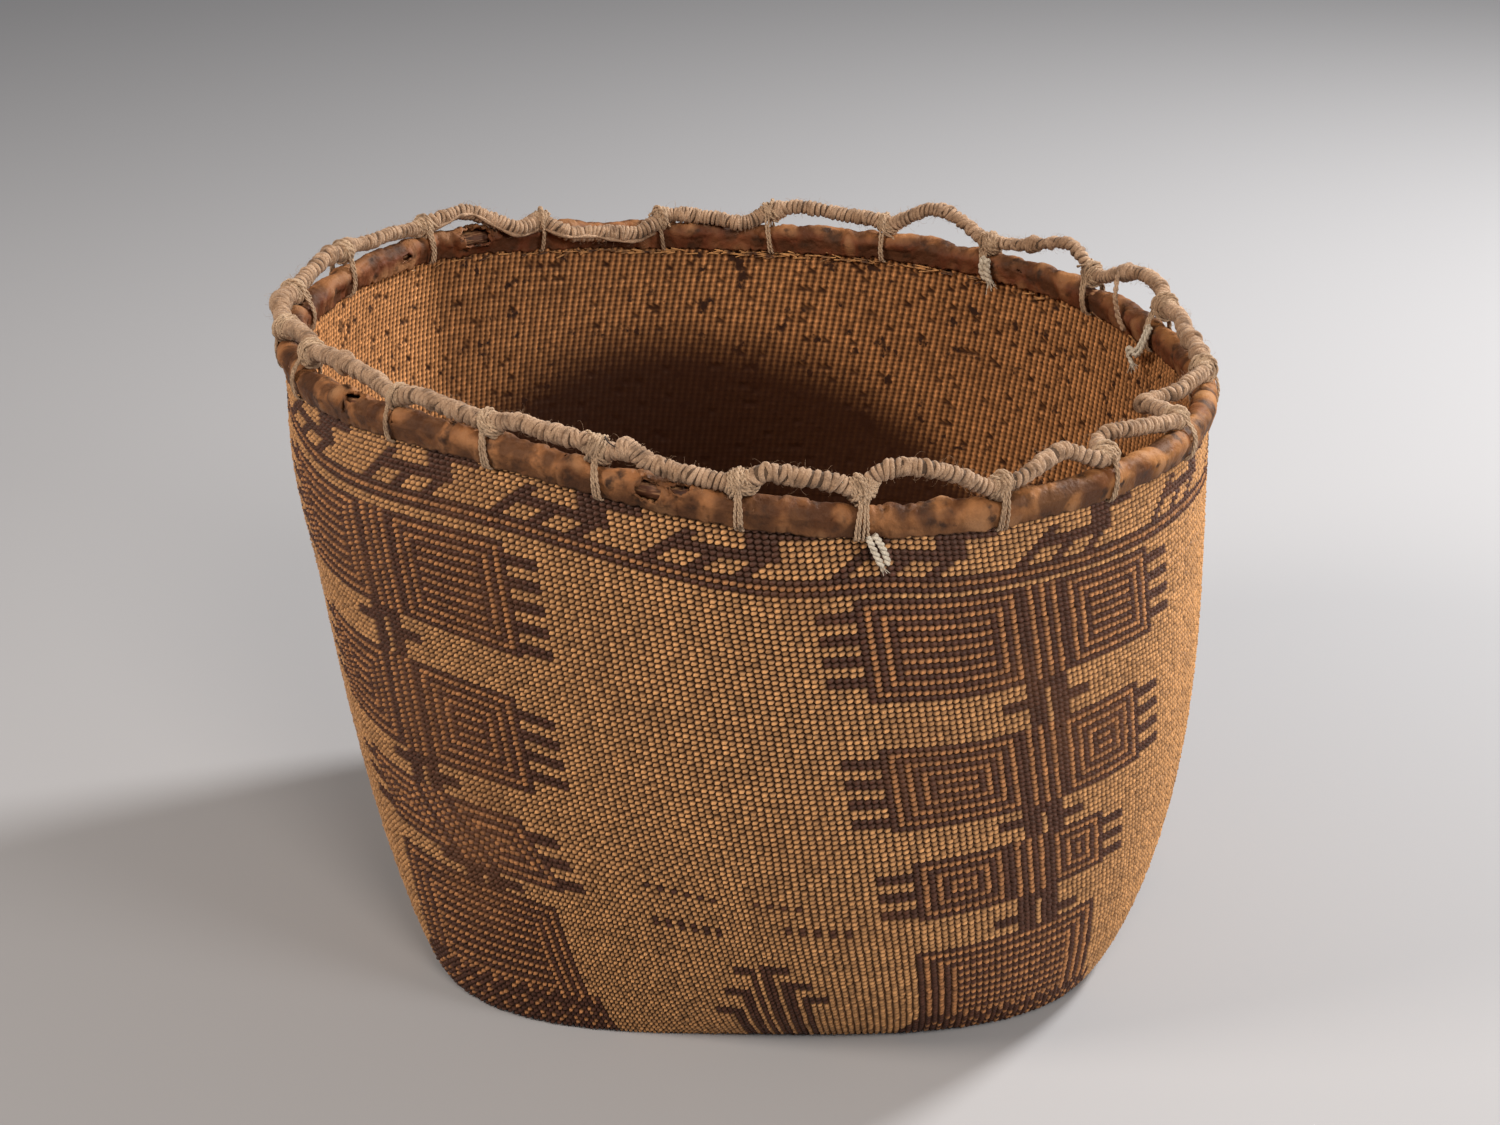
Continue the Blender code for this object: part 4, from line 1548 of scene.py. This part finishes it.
marks = [number + share for number, stations in enumerate(arches) for share, _, _ in stations]
outs = [out for stations in arches for _, out, _ in stations]
ups = [up for stations in arches for _, _, up in stations]
cord_steps = np.arange(GAPS * GAP_STEPS) / GAP_STEPS
cord_outs = relaxed(np.interp(cord_steps, marks, outs, period=GAPS), ROUNDING_STEPS) * MILLIMETRE
cord_ups = relaxed(np.interp(cord_steps, marks, ups, period=GAPS), ROUNDING_STEPS) * MILLIMETRE
cord_outs = cord_outs + WANDER_OUT * noise_row(len(cord_steps), step=0.05, seed=3.1)
cord_ups = cord_ups + WANDER_UP * noise_row(len(cord_steps), step=0.06, seed=8.1)
unrolled = np.unwrap(np.array(lashing_turns + [lashing_turns[0] + math.tau]))
cord_turns = np.interp(cord_steps, np.arange(GAPS + 1), unrolled)
cord_line = on_rim(cord_turns, cord_outs, CORD_SEAT + cord_ups)

cord_run = of_length_one(np.roll(cord_line, -1, 0) - np.roll(cord_line, 1, 0))
cord_side = of_length_one(np.cross(cord_run, [0, 0, 1]))
cord_top = np.cross(cord_side, cord_run)
cord_lengths = np.linalg.norm(np.roll(cord_line, -1, 0) - cord_line, axis=1)
cord_at = np.concatenate([[0], np.cumsum(cord_lengths)])
print("cord length in m:", round(cord_at[-1], 3))

# %% [markdown]
# ## The cord's thickness
# The cord is made by hand and isn't even. `bulks` says how thick it is in each gap, against the
# usual, and two noises make it swell and shrink along the way. A lashing squeezes it.

# %% Cord thickness
CORD_RADIUS = 0.0030
CORD_SQUEEZE = 0.12
SQUEEZE_WIDTH = 0.0022
bulks = (
    1.02, 1.0, 1.0, 1.02, 1.1, 0.95, 0.92, 0.92, 0.92, 1.0, 0.95,
    0.8, 0.95, 1.0, 1.0, 1.08, 1.05, 0.86, 1.05, 1.12, 1.0,
)
lashing_at = cord_at[:-1][::GAP_STEPS]
away = np.abs(cord_at[:-1, None] - lashing_at)
away = np.minimum(away, cord_at[-1] - away).min(1)
bulk = np.interp(cord_steps, np.arange(GAPS) + 0.5, bulks, period=GAPS)
slow_change = 0.05 * noise_row(len(cord_line), step=0.09, seed=31.0)
quick_change = 0.06 * noise_row(len(cord_line), step=0.23, seed=33.0)
cord_radius = CORD_RADIUS * bulk * (1 + slow_change + quick_change)
cord_radius *= 1 - CORD_SQUEEZE * bell(away, SQUEEZE_WIDTH)
thickness = cord_radius * 2000
print("the cord is", round(thickness.min(), 1), "to", round(thickness.max(), 1), "mm thick")

# %% [markdown]
# ## Places on the cord
# `along_cord` is to the cord what `on_rim` is to the rim: so far along, so far round, and so far
# from its middle. Everything that is wound, tied or stuck on the cord is placed with it.

# %% Cord helpers


def along_cord(distance, around, radius):
    """Points on or off the cord: a distance along it, a turn round it and a radius."""
    distance = np.mod(distance, cord_at[-1])
    parts = []
    for part in (cord_line, cord_side, cord_top):
        closed = np.concatenate([part, part[:1]])
        rows = [np.interp(distance, cord_at, closed[:, axis]) for axis in range(3)]
        parts.append(np.stack(rows, 1))
    middle, side, top = parts
    return middle + (side * np.cos(around)[:, None] + top * np.sin(around)[:, None]) * radius[:, None]


def radius_at(distance):
    return np.interp(np.mod(distance, cord_at[-1]), cord_at[:-1], cord_radius)


def cord_place(gap, share):
    """The distance along the cord of a share of a gap."""
    return np.interp(gap + share, cord_steps, cord_at[:-1])


print("lashing 11 lies", round(float(cord_place(10, 0.0)), 3), "m along the cord")

# %% [markdown]
# ## Yarn
# All the strings are old and soft: grey-beige, with duller patches, grime in places and no shine.
# A little sheen stands in for the finest fibres. One function makes every yarn, in other colours.

# %% Yarn materials
YARN_SHEEN = 0.08


def yarn_material(name, pale, dull, grime, stain_from):
    material, tree, shader = principled(name, roughness=0.9, sheen=YARN_SHEEN)
    patch = stretched(tree, noise_at(tree, scale=90.0, detail=4.0), low=0.38, high=0.66)
    colour = mix_colour(tree, patch, pale, dull)
    worn = use_group(tree, stains, Color=colour, Stain=grime, Scale=210.0, From=stain_from, To=0.78)
    fluffy = use_group(tree, fibres, Color=worn["Color"], Shade=grime, Scale=1700.0, Amount=0.9)
    feed(tree, shader.inputs["Base Color"], fluffy["Color"])
    bump(tree, shader, fluffy["Height"], distance=0.0005, strength=0.9)
    return material


cord_yarn = yarn_material(
    "cord_yarn", (0.74, 0.50, 0.33, 1), (0.50, 0.315, 0.19, 1), (0.11, 0.060, 0.032, 1), 0.48
)
grimy_yarn = yarn_material(
    "grimy_yarn", (0.20, 0.12, 0.07, 1), (0.11, 0.065, 0.038, 1), (0.05, 0.028, 0.016, 1), 0.50
)
lashing_yarn = yarn_material(
    "lashing_yarn", (0.78, 0.56, 0.37, 1), (0.54, 0.36, 0.225, 1), (0.12, 0.070, 0.040, 1), 0.54
)
dark_yarn = yarn_material(
    "dark_thread", (0.045, 0.032, 0.028, 1), (0.03, 0.02, 0.018, 1), (0.02, 0.012, 0.01, 1), 0.7
)
cotton = yarn_material(
    "white_cotton", (0.86, 0.80, 0.68, 1), (0.68, 0.60, 0.48, 1), (0.30, 0.23, 0.16, 1), 0.66
)
print("yarns:", [made.name for made in (cord_yarn, grimy_yarn, lashing_yarn, dark_yarn, cotton)])

# %% [markdown]
# ## Core and winding
# The core is one closed tube along the path. The winding is made gap by gap, in the style that the
# photograph shows there. Soft string flattens as it's pulled tight, so each turn is sunk into the
# core until only its outer part shows, and the grooves between turns stay shallow. The turns lean
# and crowd a little, which keeps them from looking like a screw thread.

# %% Core and winding
CORE_SHARE = 0.93
TURN_STEPS = 16
CROWDING = 0.0008
SLANT = 0.0016
THREAD_UNEVEN = 0.24
STAND_OUT = 0.00050
STAND_OUT_UNEVEN = 0.00034
core = string_mesh("cord_core", [(cord_line, cord_radius * CORE_SHARE)], closed=True, resolution=3)
keep(core, grimy_yarn, "wrapped_cord", "loop_cord")

# Winding styles: how far a string moves on in a turn, its radius, and how many run side by side
styles = (
    (0.0016, 0.00082, 1),
    (0.0042, 0.0011, 2),
    (0.0031, 0.0016, 1),
    (0.0021, 0.00108, 1),
    (0.0060, 0.0011, 3),
)
gap_styles = (3, 2, 3, 3, 2, 3, 2, 3, 2, 3, 4, 2, 1, 3, 0, 3, 3, 3, 2, 3, 3)


def winding_string(gap, style, start):
    """One string wound round the cord over one gap, as path and radii."""
    pitch, thread, starts = style
    begin = lashing_at[gap]
    end = np.append(lashing_at, cord_at[-1])[gap + 1]
    turns = (end - begin) / pitch
    count = int(turns * TURN_STEPS) + 1
    step = np.arange(count) / (count - 1)
    around = math.tau * (turns * step + start / starts)
    crowding = noise_row(count, step=0.035, seed=gap + start * 0.37) * CROWDING
    slant = noise_row(count, step=0.012, seed=gap + 90.0) * SLANT
    swing = 4 * noise_row(count, step=0.01, seed=gap + 95.0)
    crowding = crowding + slant * np.sin(around + swing)
    distance = begin + (end - begin) * step + crowding * np.sin(math.pi * step)
    thickness = thread * (1 + THREAD_UNEVEN * noise_row(count, step=0.09, seed=gap + 40.0 + start))
    bulge = STAND_OUT + STAND_OUT_UNEVEN * noise_row(count, step=0.05, seed=gap + 60.0 + start)
    return along_cord(distance, around, radius_at(distance) + bulge - thickness), thickness


winding = []
for gap, style_number in enumerate(gap_styles):
    style = styles[style_number]
    winding += [winding_string(gap, style, start) for start in range(style[2])]
keep(string_mesh("cord_winding", winding), cord_yarn, "wrapped_cord", "loop_cord")

# %% [markdown]
# ## Loose turns and knots
# Loose turns lie across the winding here and there, and knots sit where a new length of string was
# tied in. A knot is drawn as two short coils that bulge and lean against each other, which looks
# like a knot at this size. One length of string was never wound. It lies along the lower inside of
# the cord at the back.

# %% Loose turns and knots
LOOSE_TURNS = 120
LOOSE_LENGTH = (0.005, 0.014)
LOOSE_WINDS = (0.8, 2.4)
LOOSE_THREAD = (0.0007, 0.0013)
LOOSE_RISE = 0.0008
LOOSE_DIP = 0.0009
COLLAR_UNEVEN = 0.0003
# Each knot: the number of its gap, and the share of the gap
knots = (
    (0, 0.4), (3, 0.22), (8, 0.25), (9, 0.2), (9, 0.42), (10, 0.6),
    (11, 0.62), (17, 0.93), (18, 0.2), (19, 0.4), (13, 0.93),
)


def collar(middle, turns, spacing, thread, bulge, tilt):
    """A short, bulging coil round the cord, as path and radii."""
    step = np.linspace(0, 1, int(turns * TURN_STEPS))
    around = math.tau * turns * step + chance.uniform(0, 6)
    distance = middle + (step - 0.5) * turns * spacing + tilt * np.sin(around)
    uneven = COLLAR_UNEVEN * noise_row(len(step), step=0.2, seed=middle * 900)
    swell = bulge * np.sin(math.pi * step) + uneven
    return along_cord(distance, around, radius_at(distance) + swell), np.full(len(step), thread)


def loose_turn():
    """A string that crosses the winding and dips into it at both ends, as path and radii."""
    begin = chance.uniform(0, cord_at[-1])
    length = chance.uniform(*LOOSE_LENGTH)
    turns = chance.uniform(*LOOSE_WINDS) * chance.choice([-1, 1])
    step = np.linspace(0, 1, 40)
    from_middle = np.abs(2 * step - 1)
    distance = begin + length * step
    around = math.tau * (turns * step + chance.uniform())
    thread = chance.uniform(*LOOSE_THREAD)
    reach = radius_at(distance) + LOOSE_RISE - thread - LOOSE_DIP * from_middle**6
    return along_cord(distance, around, reach), thread * (1 - 0.5 * from_middle**8)


loose = [loose_turn() for _ in range(LOOSE_TURNS)]
for gap, share in knots:
    middle = cord_place(gap, share)
    loose.append(collar(middle, turns=4, spacing=0.0011, thread=0.0008, bulge=0.0004, tilt=0.0009))
    loose.append(collar(middle, turns=3, spacing=0.0011, thread=0.0009, bulge=0.0009, tilt=-0.0012))
step = np.linspace(0.1, 2.1, 160)
beside = cord_place(15, step)
unwound = along_cord(beside, 3.7 + 0.5 * np.sin(7 * step), radius_at(beside) + 0.0004)
loose.append((unwound, 0.0008 + 0.0002 * np.sin(31 * step)))
keep(string_mesh("cord_loose_turns", loose), cord_yarn, "wrapped_cord", "loop_cord")

# %% [markdown]
# ## Fluff
# Fine fluff stands off the old string. It is what makes the cord look soft against a dark mouth, so
# it's worth its triangles. Each hair is a curve of four points with the thinnest possible bevel.

# %% Fluff
HAIRS = 2600
HAIR_RADIUS = 0.000045
HAIR_RISE = (0.0006, 0.0018)
LONG_HAIR_RISE = 0.0024
HAIR_DRIFT = 0.0018
HAIR_BEND = 0.0005


def hair():
    begin = chance.uniform(0, cord_at[-1])
    around = chance.uniform(0, math.tau)
    bend = chance.normal(0, 1, 2)
    step = np.linspace(0, 1, 4)
    rise = chance.uniform(*HAIR_RISE) + LONG_HAIR_RISE * chance.uniform() ** 4
    distance = begin + chance.normal(0, HAIR_DRIFT) * step + HAIR_BEND * bend[0] * step**2
    reach = radius_at(distance) + 0.0002 + rise * np.sin(step * 1.9)
    return along_cord(distance, around + (0.45 * bend[1] * step), reach), HAIR_RADIUS * (1 - 0.6 * step)


fluff = [hair() for _ in range(HAIRS)]
keep(string_mesh("cord_fluff", fluff, resolution=0), cord_yarn, "wrapped_cord", "loop_cord")

# %% [markdown]
# ## String of two plies
# A string shows its twist when it is seen from near. `twisted` takes the string's middle line and
# gives its plies, each a thin round curve that circles the line. It's used for the lashings, the
# tails and the slipped loop.

# %% Twisted string
PLY = 0.00036
PLY_STEPS = 7
PLIES = 2
PLIES_APART = 0.8
NOT_ZERO = 1e-12


def twisted(points, ply, pitch, start=0.0):
    """The two plies of a string whose middle follows the points."""
    points = np.asarray(points, float)
    steps = np.linalg.norm(np.diff(points, axis=0), axis=1)
    at = np.concatenate([[0], np.cumsum(steps)])
    count = max(8, int(at[-1] / pitch * PLY_STEPS))
    new = np.linspace(0, at[-1], count)
    line = np.stack([np.interp(new, at, points[:, axis]) for axis in range(3)], 1)
    run = np.gradient(line, axis=0)
    run /= np.linalg.norm(run, axis=1, keepdims=True) + NOT_ZERO
    guide = np.tile([0.31, 0.27, 0.91], (count, 1))
    side = np.cross(run, guide)
    side /= np.linalg.norm(side, axis=1, keepdims=True) + NOT_ZERO
    top = np.cross(side, run)
    made = []
    for number in range(PLIES):
        turn = start + math.tau * (new / pitch + number / PLIES)
        offset = (side * np.cos(turn)[:, None] + top * np.sin(turn)[:, None]) * ply * PLIES_APART
        made.append((line + offset, np.full(count, ply)))
    return made


print("a straight string of 10 mm has", len(twisted([(0, 0, 0), (0.01, 0, 0)], PLY, 0.005)[0][0]), "steps")

# %% [markdown]
# ## The way of a lashing
# A lashing starts inside, comes out through the wall just under the hide, runs up over hide and
# cord and down again. Seen along the hoop that is a closed loop with few corners. `rounded` cuts
# the corners again and again, which is the oldest way to turn a rough path into a smooth one.

# %% Lashing loop


def rounded(corners, times=3):
    """Cuts the corners of a closed path again and again, which rounds it."""
    corners = np.asarray(corners, float)
    for _ in range(times):
        after = np.roll(corners, -1, 0)
        pairs = [corners * 0.75 + after * 0.25, corners * 0.25 + after * 0.75]
        corners = np.stack(pairs, 1).reshape(-1, 2)
    return corners


def lashing_loop(cord_x, cord_y, reach):
    """The string's way round hide and cord, seen along the hoop, as x out and y up."""
    hide_side = [(0.0040, -0.0079), (0.0054, -0.0036), (0.0059, 0.0006), (0.0052, 0.0042)]
    right = [(cord_x + reach, cord_y), (cord_x + reach * 0.85, cord_y + reach * 0.85)]
    top = [(cord_x, cord_y + reach * 1.05)]
    left = [(cord_x - reach * 0.85, cord_y + reach * 0.85), (cord_x - reach, cord_y)]
    return rounded(hide_side + right + top + left + [(-x, y) for x, y in hide_side[::-1]])


loop_points = lashing_loop(0.0, CORD_SEAT, CORD_RADIUS)
print("a lashing loop is", round(np.ptp(loop_points[:, 1]) * 1000, 1), "mm high")

# %% [markdown]
# ## The lines of a lashing
# A lashing is made of two to four fine strings laid side by side, and each string of two plies.
# They fan out where they have room, over the hide and under it, and close up at the sides.

# %% Lashing lines
LINE_REACH = 0.0012
LINE_REACH_STEP = 0.0002
LINE_SLANT = 0.0016
LINE_APART = 0.00115
LINE_CLOSER = 0.00025
LINE_STRAY = 0.00015
LINE_WAVER = 0.00012
LINE_PITCH = 0.0052
line_counts = (3, 2, 3, 3, 3, 4, 3, 2, 3, 2, 3, 3, 4, 2, 2, 2, 2, 3, 3, 3, 4)


def lashing_lines(number):
    """The strings that go round hide and cord and through the wall."""
    spot = number * GAP_STEPS
    lines = line_counts[number]
    strands = []
    slant = chance.uniform(-LINE_SLANT, LINE_SLANT)
    for line in range(lines):
        reach = cord_radius[spot] + LINE_REACH + LINE_REACH_STEP * line
        shape = lashing_loop(cord_outs[spot], CORD_SEAT + cord_ups[spot], reach)
        closed = np.concatenate([shape, shape[:1]])
        turn = np.linspace(-math.pi / 2, math.tau - math.pi / 2, len(closed))
        fan = (line - (lines - 1) / 2) * (LINE_APART - LINE_CLOSER * np.cos(2 * turn))
        fan = fan + chance.normal(0, LINE_STRAY)
        waver = LINE_WAVER * noise_row(len(closed), step=0.2, seed=number + line * 7.0)
        drift = fan + slant * np.sin(turn) + waver
        path = on_rim(lashing_turns[number] + drift / RIM_RADIUS, closed[:, 0], closed[:, 1])
        strands += twisted(path, PLY, LINE_PITCH, line * 1.3)
    return strands


print("strings in all lashings:", sum(line_counts))

# %% [markdown]
# ## Knots and ends
# Where the strings meet the cord they are wound round it into a knot, in three layers that get
# shorter and bulge more. A short end or two is left over, and sags. Every lashing stands in for
# its own CAD node.

# %% Lashings
KNOT_SPACING = 0.00115
KNOT_TILT = (0.0006, 0.0022)
KNOT_PITCH = 0.0060
END_TURN = (-0.4, 3.6)
END_LENGTH = (0.004, 0.008)
END_PITCH = 0.0036
knot_turns = (7, 6, 7, 7, 8, 8, 7, 6, 7, 6, 8, 7, 8, 6, 5, 6, 5, 8, 6, 7, 8)
# Each layer of a knot: how far it bulges, and how many turns fewer it has than the first
knot_layers = ((0.0006, 0), (0.0018, 2), (0.0027, 4))


def lashing_knot(number, middle):
    """Three layers of turns round the cord."""
    strands = []
    for layer, (bulge, fewer) in enumerate(knot_layers):
        tilt = chance.uniform(*KNOT_TILT) * chance.choice([-1, 1])
        path, _ = collar(middle, knot_turns[number] - fewer, KNOT_SPACING, PLY, bulge, tilt)
        strands += twisted(path, PLY * 1.4, KNOT_PITCH, layer)
    return strands


def short_end(number, middle):
    """The end of a string, which sticks out of its knot and sags."""
    step = np.linspace(0, 1, 14)
    turn = chance.uniform(*END_TURN)
    length = chance.uniform(*END_LENGTH)
    distance = middle + 0.002 * number + length * 0.8 * chance.choice([-1, 1]) * step
    path = along_cord(distance, turn + 0.7 * step, radius_at(distance) + 0.0013 + 0.0016 * step**2)
    path[:, 2] -= 0.002 * step**2
    return twisted(path, PLY, END_PITCH)


for number in range(GAPS):
    strands = lashing_lines(number)
    middle = lashing_at[number] + chance.normal(0, 0.0006)
    strands += lashing_knot(number, middle)
    for end_number in range(1 + number % 2):
        strands += short_end(end_number, middle)
    lash = string_mesh(f"lashing_string_{number + 1:02d}", strands)
    keep(lash, lashing_yarn, "string", f"lashing_{number + 1:02d}")

# %% [markdown]
# ## A mending thread
# One lashing in front was mended with a thin dark thread. It runs along the cord from the knot and
# lifts off it in the middle. It is a plain round curve, because it's too thin to show its plies.

# %% Mending thread
DARK_THREAD_RADIUS = 0.00026
mended = lashing_at[3] + np.linspace(-0.001, 0.0092, 30)
lift = radius_at(mended) + 0.0018 + 0.0012 * np.sin(np.linspace(0, math.pi, 30))
mending = along_cord(mended, np.linspace(2.3, 0.6, 30), lift)
keep(string_mesh("dark_thread", [(mending, DARK_THREAD_RADIUS)]), dark_yarn, "string", "lashing_04")

# %% [markdown]
# ## Loose ends
# Three doubled string ends hang down: a white one in front, and two inside at the back and at the
# right. A cut string opens at its end, so the last few millimetres spread into single fibres. Each
# row of places is degrees round, metres out from the hoop and metres up.

# %% Places of the tails
front_places = (
    (-75.6, 0.0042, -0.0056), (-75.4, 0.0058, -0.0072), (-75.0, 0.0056, -0.0102),
    (-74.5, 0.0054, -0.0136), (-74.1, 0.0054, -0.0162),
)
back_places = (
    (52.2, -0.0064, 0.0030), (52.1, -0.0072, -0.0008), (51.9, -0.0074, -0.0040), (51.5, -0.0072, -0.0072),
)
right_places = (
    (17.2, -0.0050, 0.0040), (17.3, -0.0070, -0.0020), (17.8, -0.0080, -0.0070), (18.8, -0.0084, -0.0100),
    (20.2, -0.0086, -0.0094), (20.8, -0.0086, -0.0120), (19.8, -0.0084, -0.0146),
)


def between(places, count):
    """Degrees, outs and ups at evenly spaced steps along a row of places."""
    steps = np.linspace(0, len(places) - 1, count)
    return [np.interp(steps, range(len(places)), column) for column in zip(*places)]


print("the front end hangs", round((front_places[0][2] - front_places[-1][2]) * 1000, 1), "mm down")

# %% [markdown]
# A tail is two strings side by side that drift apart, each of two plies, and a brush of fibres at
# the tip.

# %% Tails
TAIL_STEPS = 24
TAIL_PARTING = 0.35
FRAY_SPREAD = 0.36
FRAY_LENGTH = (0.0014, 0.0034)


def frayed_end(tip, run, ply):
    """One fibre that leaves the tip of a string."""
    spread = chance.normal(0, FRAY_SPREAD, 3)
    step = np.linspace(0, 1, 6)[:, None]
    start = tip - run * 0.0008 + chance.normal(0, ply * 0.5, 3)
    way = (run + spread) * chance.uniform(*FRAY_LENGTH)
    return start + way * step + spread * 0.0005 * step**2, np.full(6, ply * 0.16)


def tail(name, node, places, ply, fibre_count):
    """A hanging doubled end."""
    degrees, outs, ups = between(places, TAIL_STEPS)
    line = on_rim(np.radians(degrees), outs, ups)
    strands = twisted(line, ply, 0.0048)
    parting = TAIL_PARTING * np.sin(3 * np.linspace(0, 1, TAIL_STEPS))
    second = on_rim(np.radians(degrees + 0.62 + parting), outs + 0.0004, ups + 0.0008)
    strands += twisted(second, ply, 0.0044, 1.0)
    run = (line[-1] - line[-4]) / np.linalg.norm(line[-1] - line[-4])
    strands += [frayed_end(line[-1], run, ply) for _ in range(fibre_count)]
    keep(string_mesh(name, strands), cotton, "cotton", node)


tail("tail_in_front", "tail_front", front_places, 0.00078, 26)
tail("tail_at_back", "tail_back", back_places, 0.00100, 26)
tail("tail_at_right", "tail_right", right_places, 0.00070, 34)

# %% [markdown]
# ## Small things at the back
# Two more small things show there: a loop of string that slipped off the cord and hangs over the
# hide, and the cut ends of straws that stick out from under the hide's inner edge.

# %% Slipped string and straw ends
STRAW_ENDS = 120
slipped_places = (
    (28.0, 0.0010, 0.0190), (27.6, -0.0030, 0.0165), (26.2, -0.0068, 0.0080),
    (24.8, -0.0076, 0.0010), (23.4, -0.0070, -0.0035),
)
degrees, outs, ups = between(slipped_places, 40)
slipped = twisted(on_rim(np.radians(degrees), outs, ups), 0.0007, 0.0060)
keep(string_mesh("slipped_string", slipped), cord_yarn, "wrapped_cord", "loop_cord")


def straw_end():
    at = math.radians(chance.normal(88, 26))
    length = chance.uniform(0.003, 0.008)
    step = np.linspace(0, 1, 5)
    turns = at + (length / RIM_RADIUS) * (step - 0.5)
    low = -0.0076 - chance.uniform(0, 0.0016) + 0.0010 * chance.normal() * step
    reach = -0.0024 - 0.0004 * chance.uniform() - 0.0006 * step * chance.uniform()
    return on_rim(turns, reach, low), np.full(5, chance.uniform(0.00022, 0.00042))


def loose_straw_material():
    material, tree, shader = principled("loose_straw", roughness=0.6)
    golden_straw = (0.50, 0.25, 0.09, 1)
    grime = (0.07, 0.03, 0.015, 1)
    worn = use_group(tree, stains, Color=golden_straw, Stain=grime, Scale=160.0, From=0.45, To=0.6)
    feed(tree, shader.inputs["Base Color"], worn["Color"])
    bump(tree, shader, noise_at(tree, scale=900.0), distance=0.0002, strength=0.5)
    return material


straws = [straw_end() for _ in range(STRAW_ENDS)]
keep(string_mesh("straw_ends", straws), loose_straw_material(), "straw", "woven_body")

# %% [markdown]
# ## The floor
# The basket stands on a plain pale floor, which is only a stage for it. The floor is wide enough to
# fill the picture from every side, and quite dull, so that no lamp shows in it.

# %% Floor
FLOOR_RADIUS = 9.0
FLOOR_COLOUR = (0.385, 0.39, 0.41, 1)
deselect()
bpy.ops.mesh.primitive_circle_add(vertices=128, radius=FLOOR_RADIUS, fill_type="NGON", location=(0, 0, 0))
floor = bpy.context.object
floor.name = "floor"
floor_material, _, floor_shader = principled("floor_paint", roughness=0.95, gloss=0.0)
floor_shader.inputs["Base Color"].default_value = FLOOR_COLOUR
floor.data.materials.append(floor_material)
floor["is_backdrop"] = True
print("floor's radius in m:", FLOOR_RADIUS)

# %% [markdown]
# ## The light
# In the photograph the strongest light comes from behind the right shoulder of the basket: it
# brightens the right side and reaches over the rim to the inner wall at the left. A low lamp at the
# right front rakes across the stitches, and two weaker soft lamps and the pale world fill the front
# and the left. Lamps are placed by the angle round the basket and the angle up, as one would walk
# round it with a stand.

# %% Lamps and world
LAMP_DISTANCE = 1.8
AIM_HEIGHT = 0.14
WARM = (1.0, 0.88, 0.76)
SKY = (0.93, 0.95, 1.0, 1)
SKY_STRENGTH = 0.15
# Each lamp: degrees round from the right, degrees up, its width, its power in watts and colour
lamps = (
    ("key_behind_right", 34, 37, 0.32, 43.0, (1.0, 0.97, 0.93)),
    ("low_right", -35, 20, 0.6, 14.0, (1.0, 0.96, 0.91)),
    ("front", -78, 42, 0.6, 11.4, WARM),
    ("left", -158, 36, 0.6, 19.0, WARM),
)


def lamp(name, round_degrees, up_degrees, width, power, colour):
    """A round area lamp that looks at the basket's middle."""
    turn = math.radians(round_degrees)
    rise = math.radians(up_degrees)
    level = LAMP_DISTANCE * math.cos(rise)
    spot = (level * math.cos(turn), level * math.sin(turn), AIM_HEIGHT + LAMP_DISTANCE * math.sin(rise))
    data = bpy.data.lights.new(name, "AREA")
    data.shape = "DISK"
    data.size = width
    data.energy = power
    data.color = colour
    item = bpy.data.objects.new(name, data)
    scene.collection.objects.link(item)
    item.location = spot
    aim = Vector((0, 0, AIM_HEIGHT)) - Vector(spot)
    item.rotation_euler = aim.to_track_quat("-Z", "Y").to_euler()
    print(name, "at", [round(v, 2) for v in spot], "with", power, "W")


for row in lamps:
    lamp(*row)
world = bpy.data.worlds.new("studio")
world.use_nodes = True
background = world.node_tree.nodes["Background"]
background.inputs["Color"].default_value = SKY
background.inputs["Strength"].default_value = SKY_STRENGTH
scene.world = world
scene.view_settings.view_transform = "Standard"

# %% Finish
low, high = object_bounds()
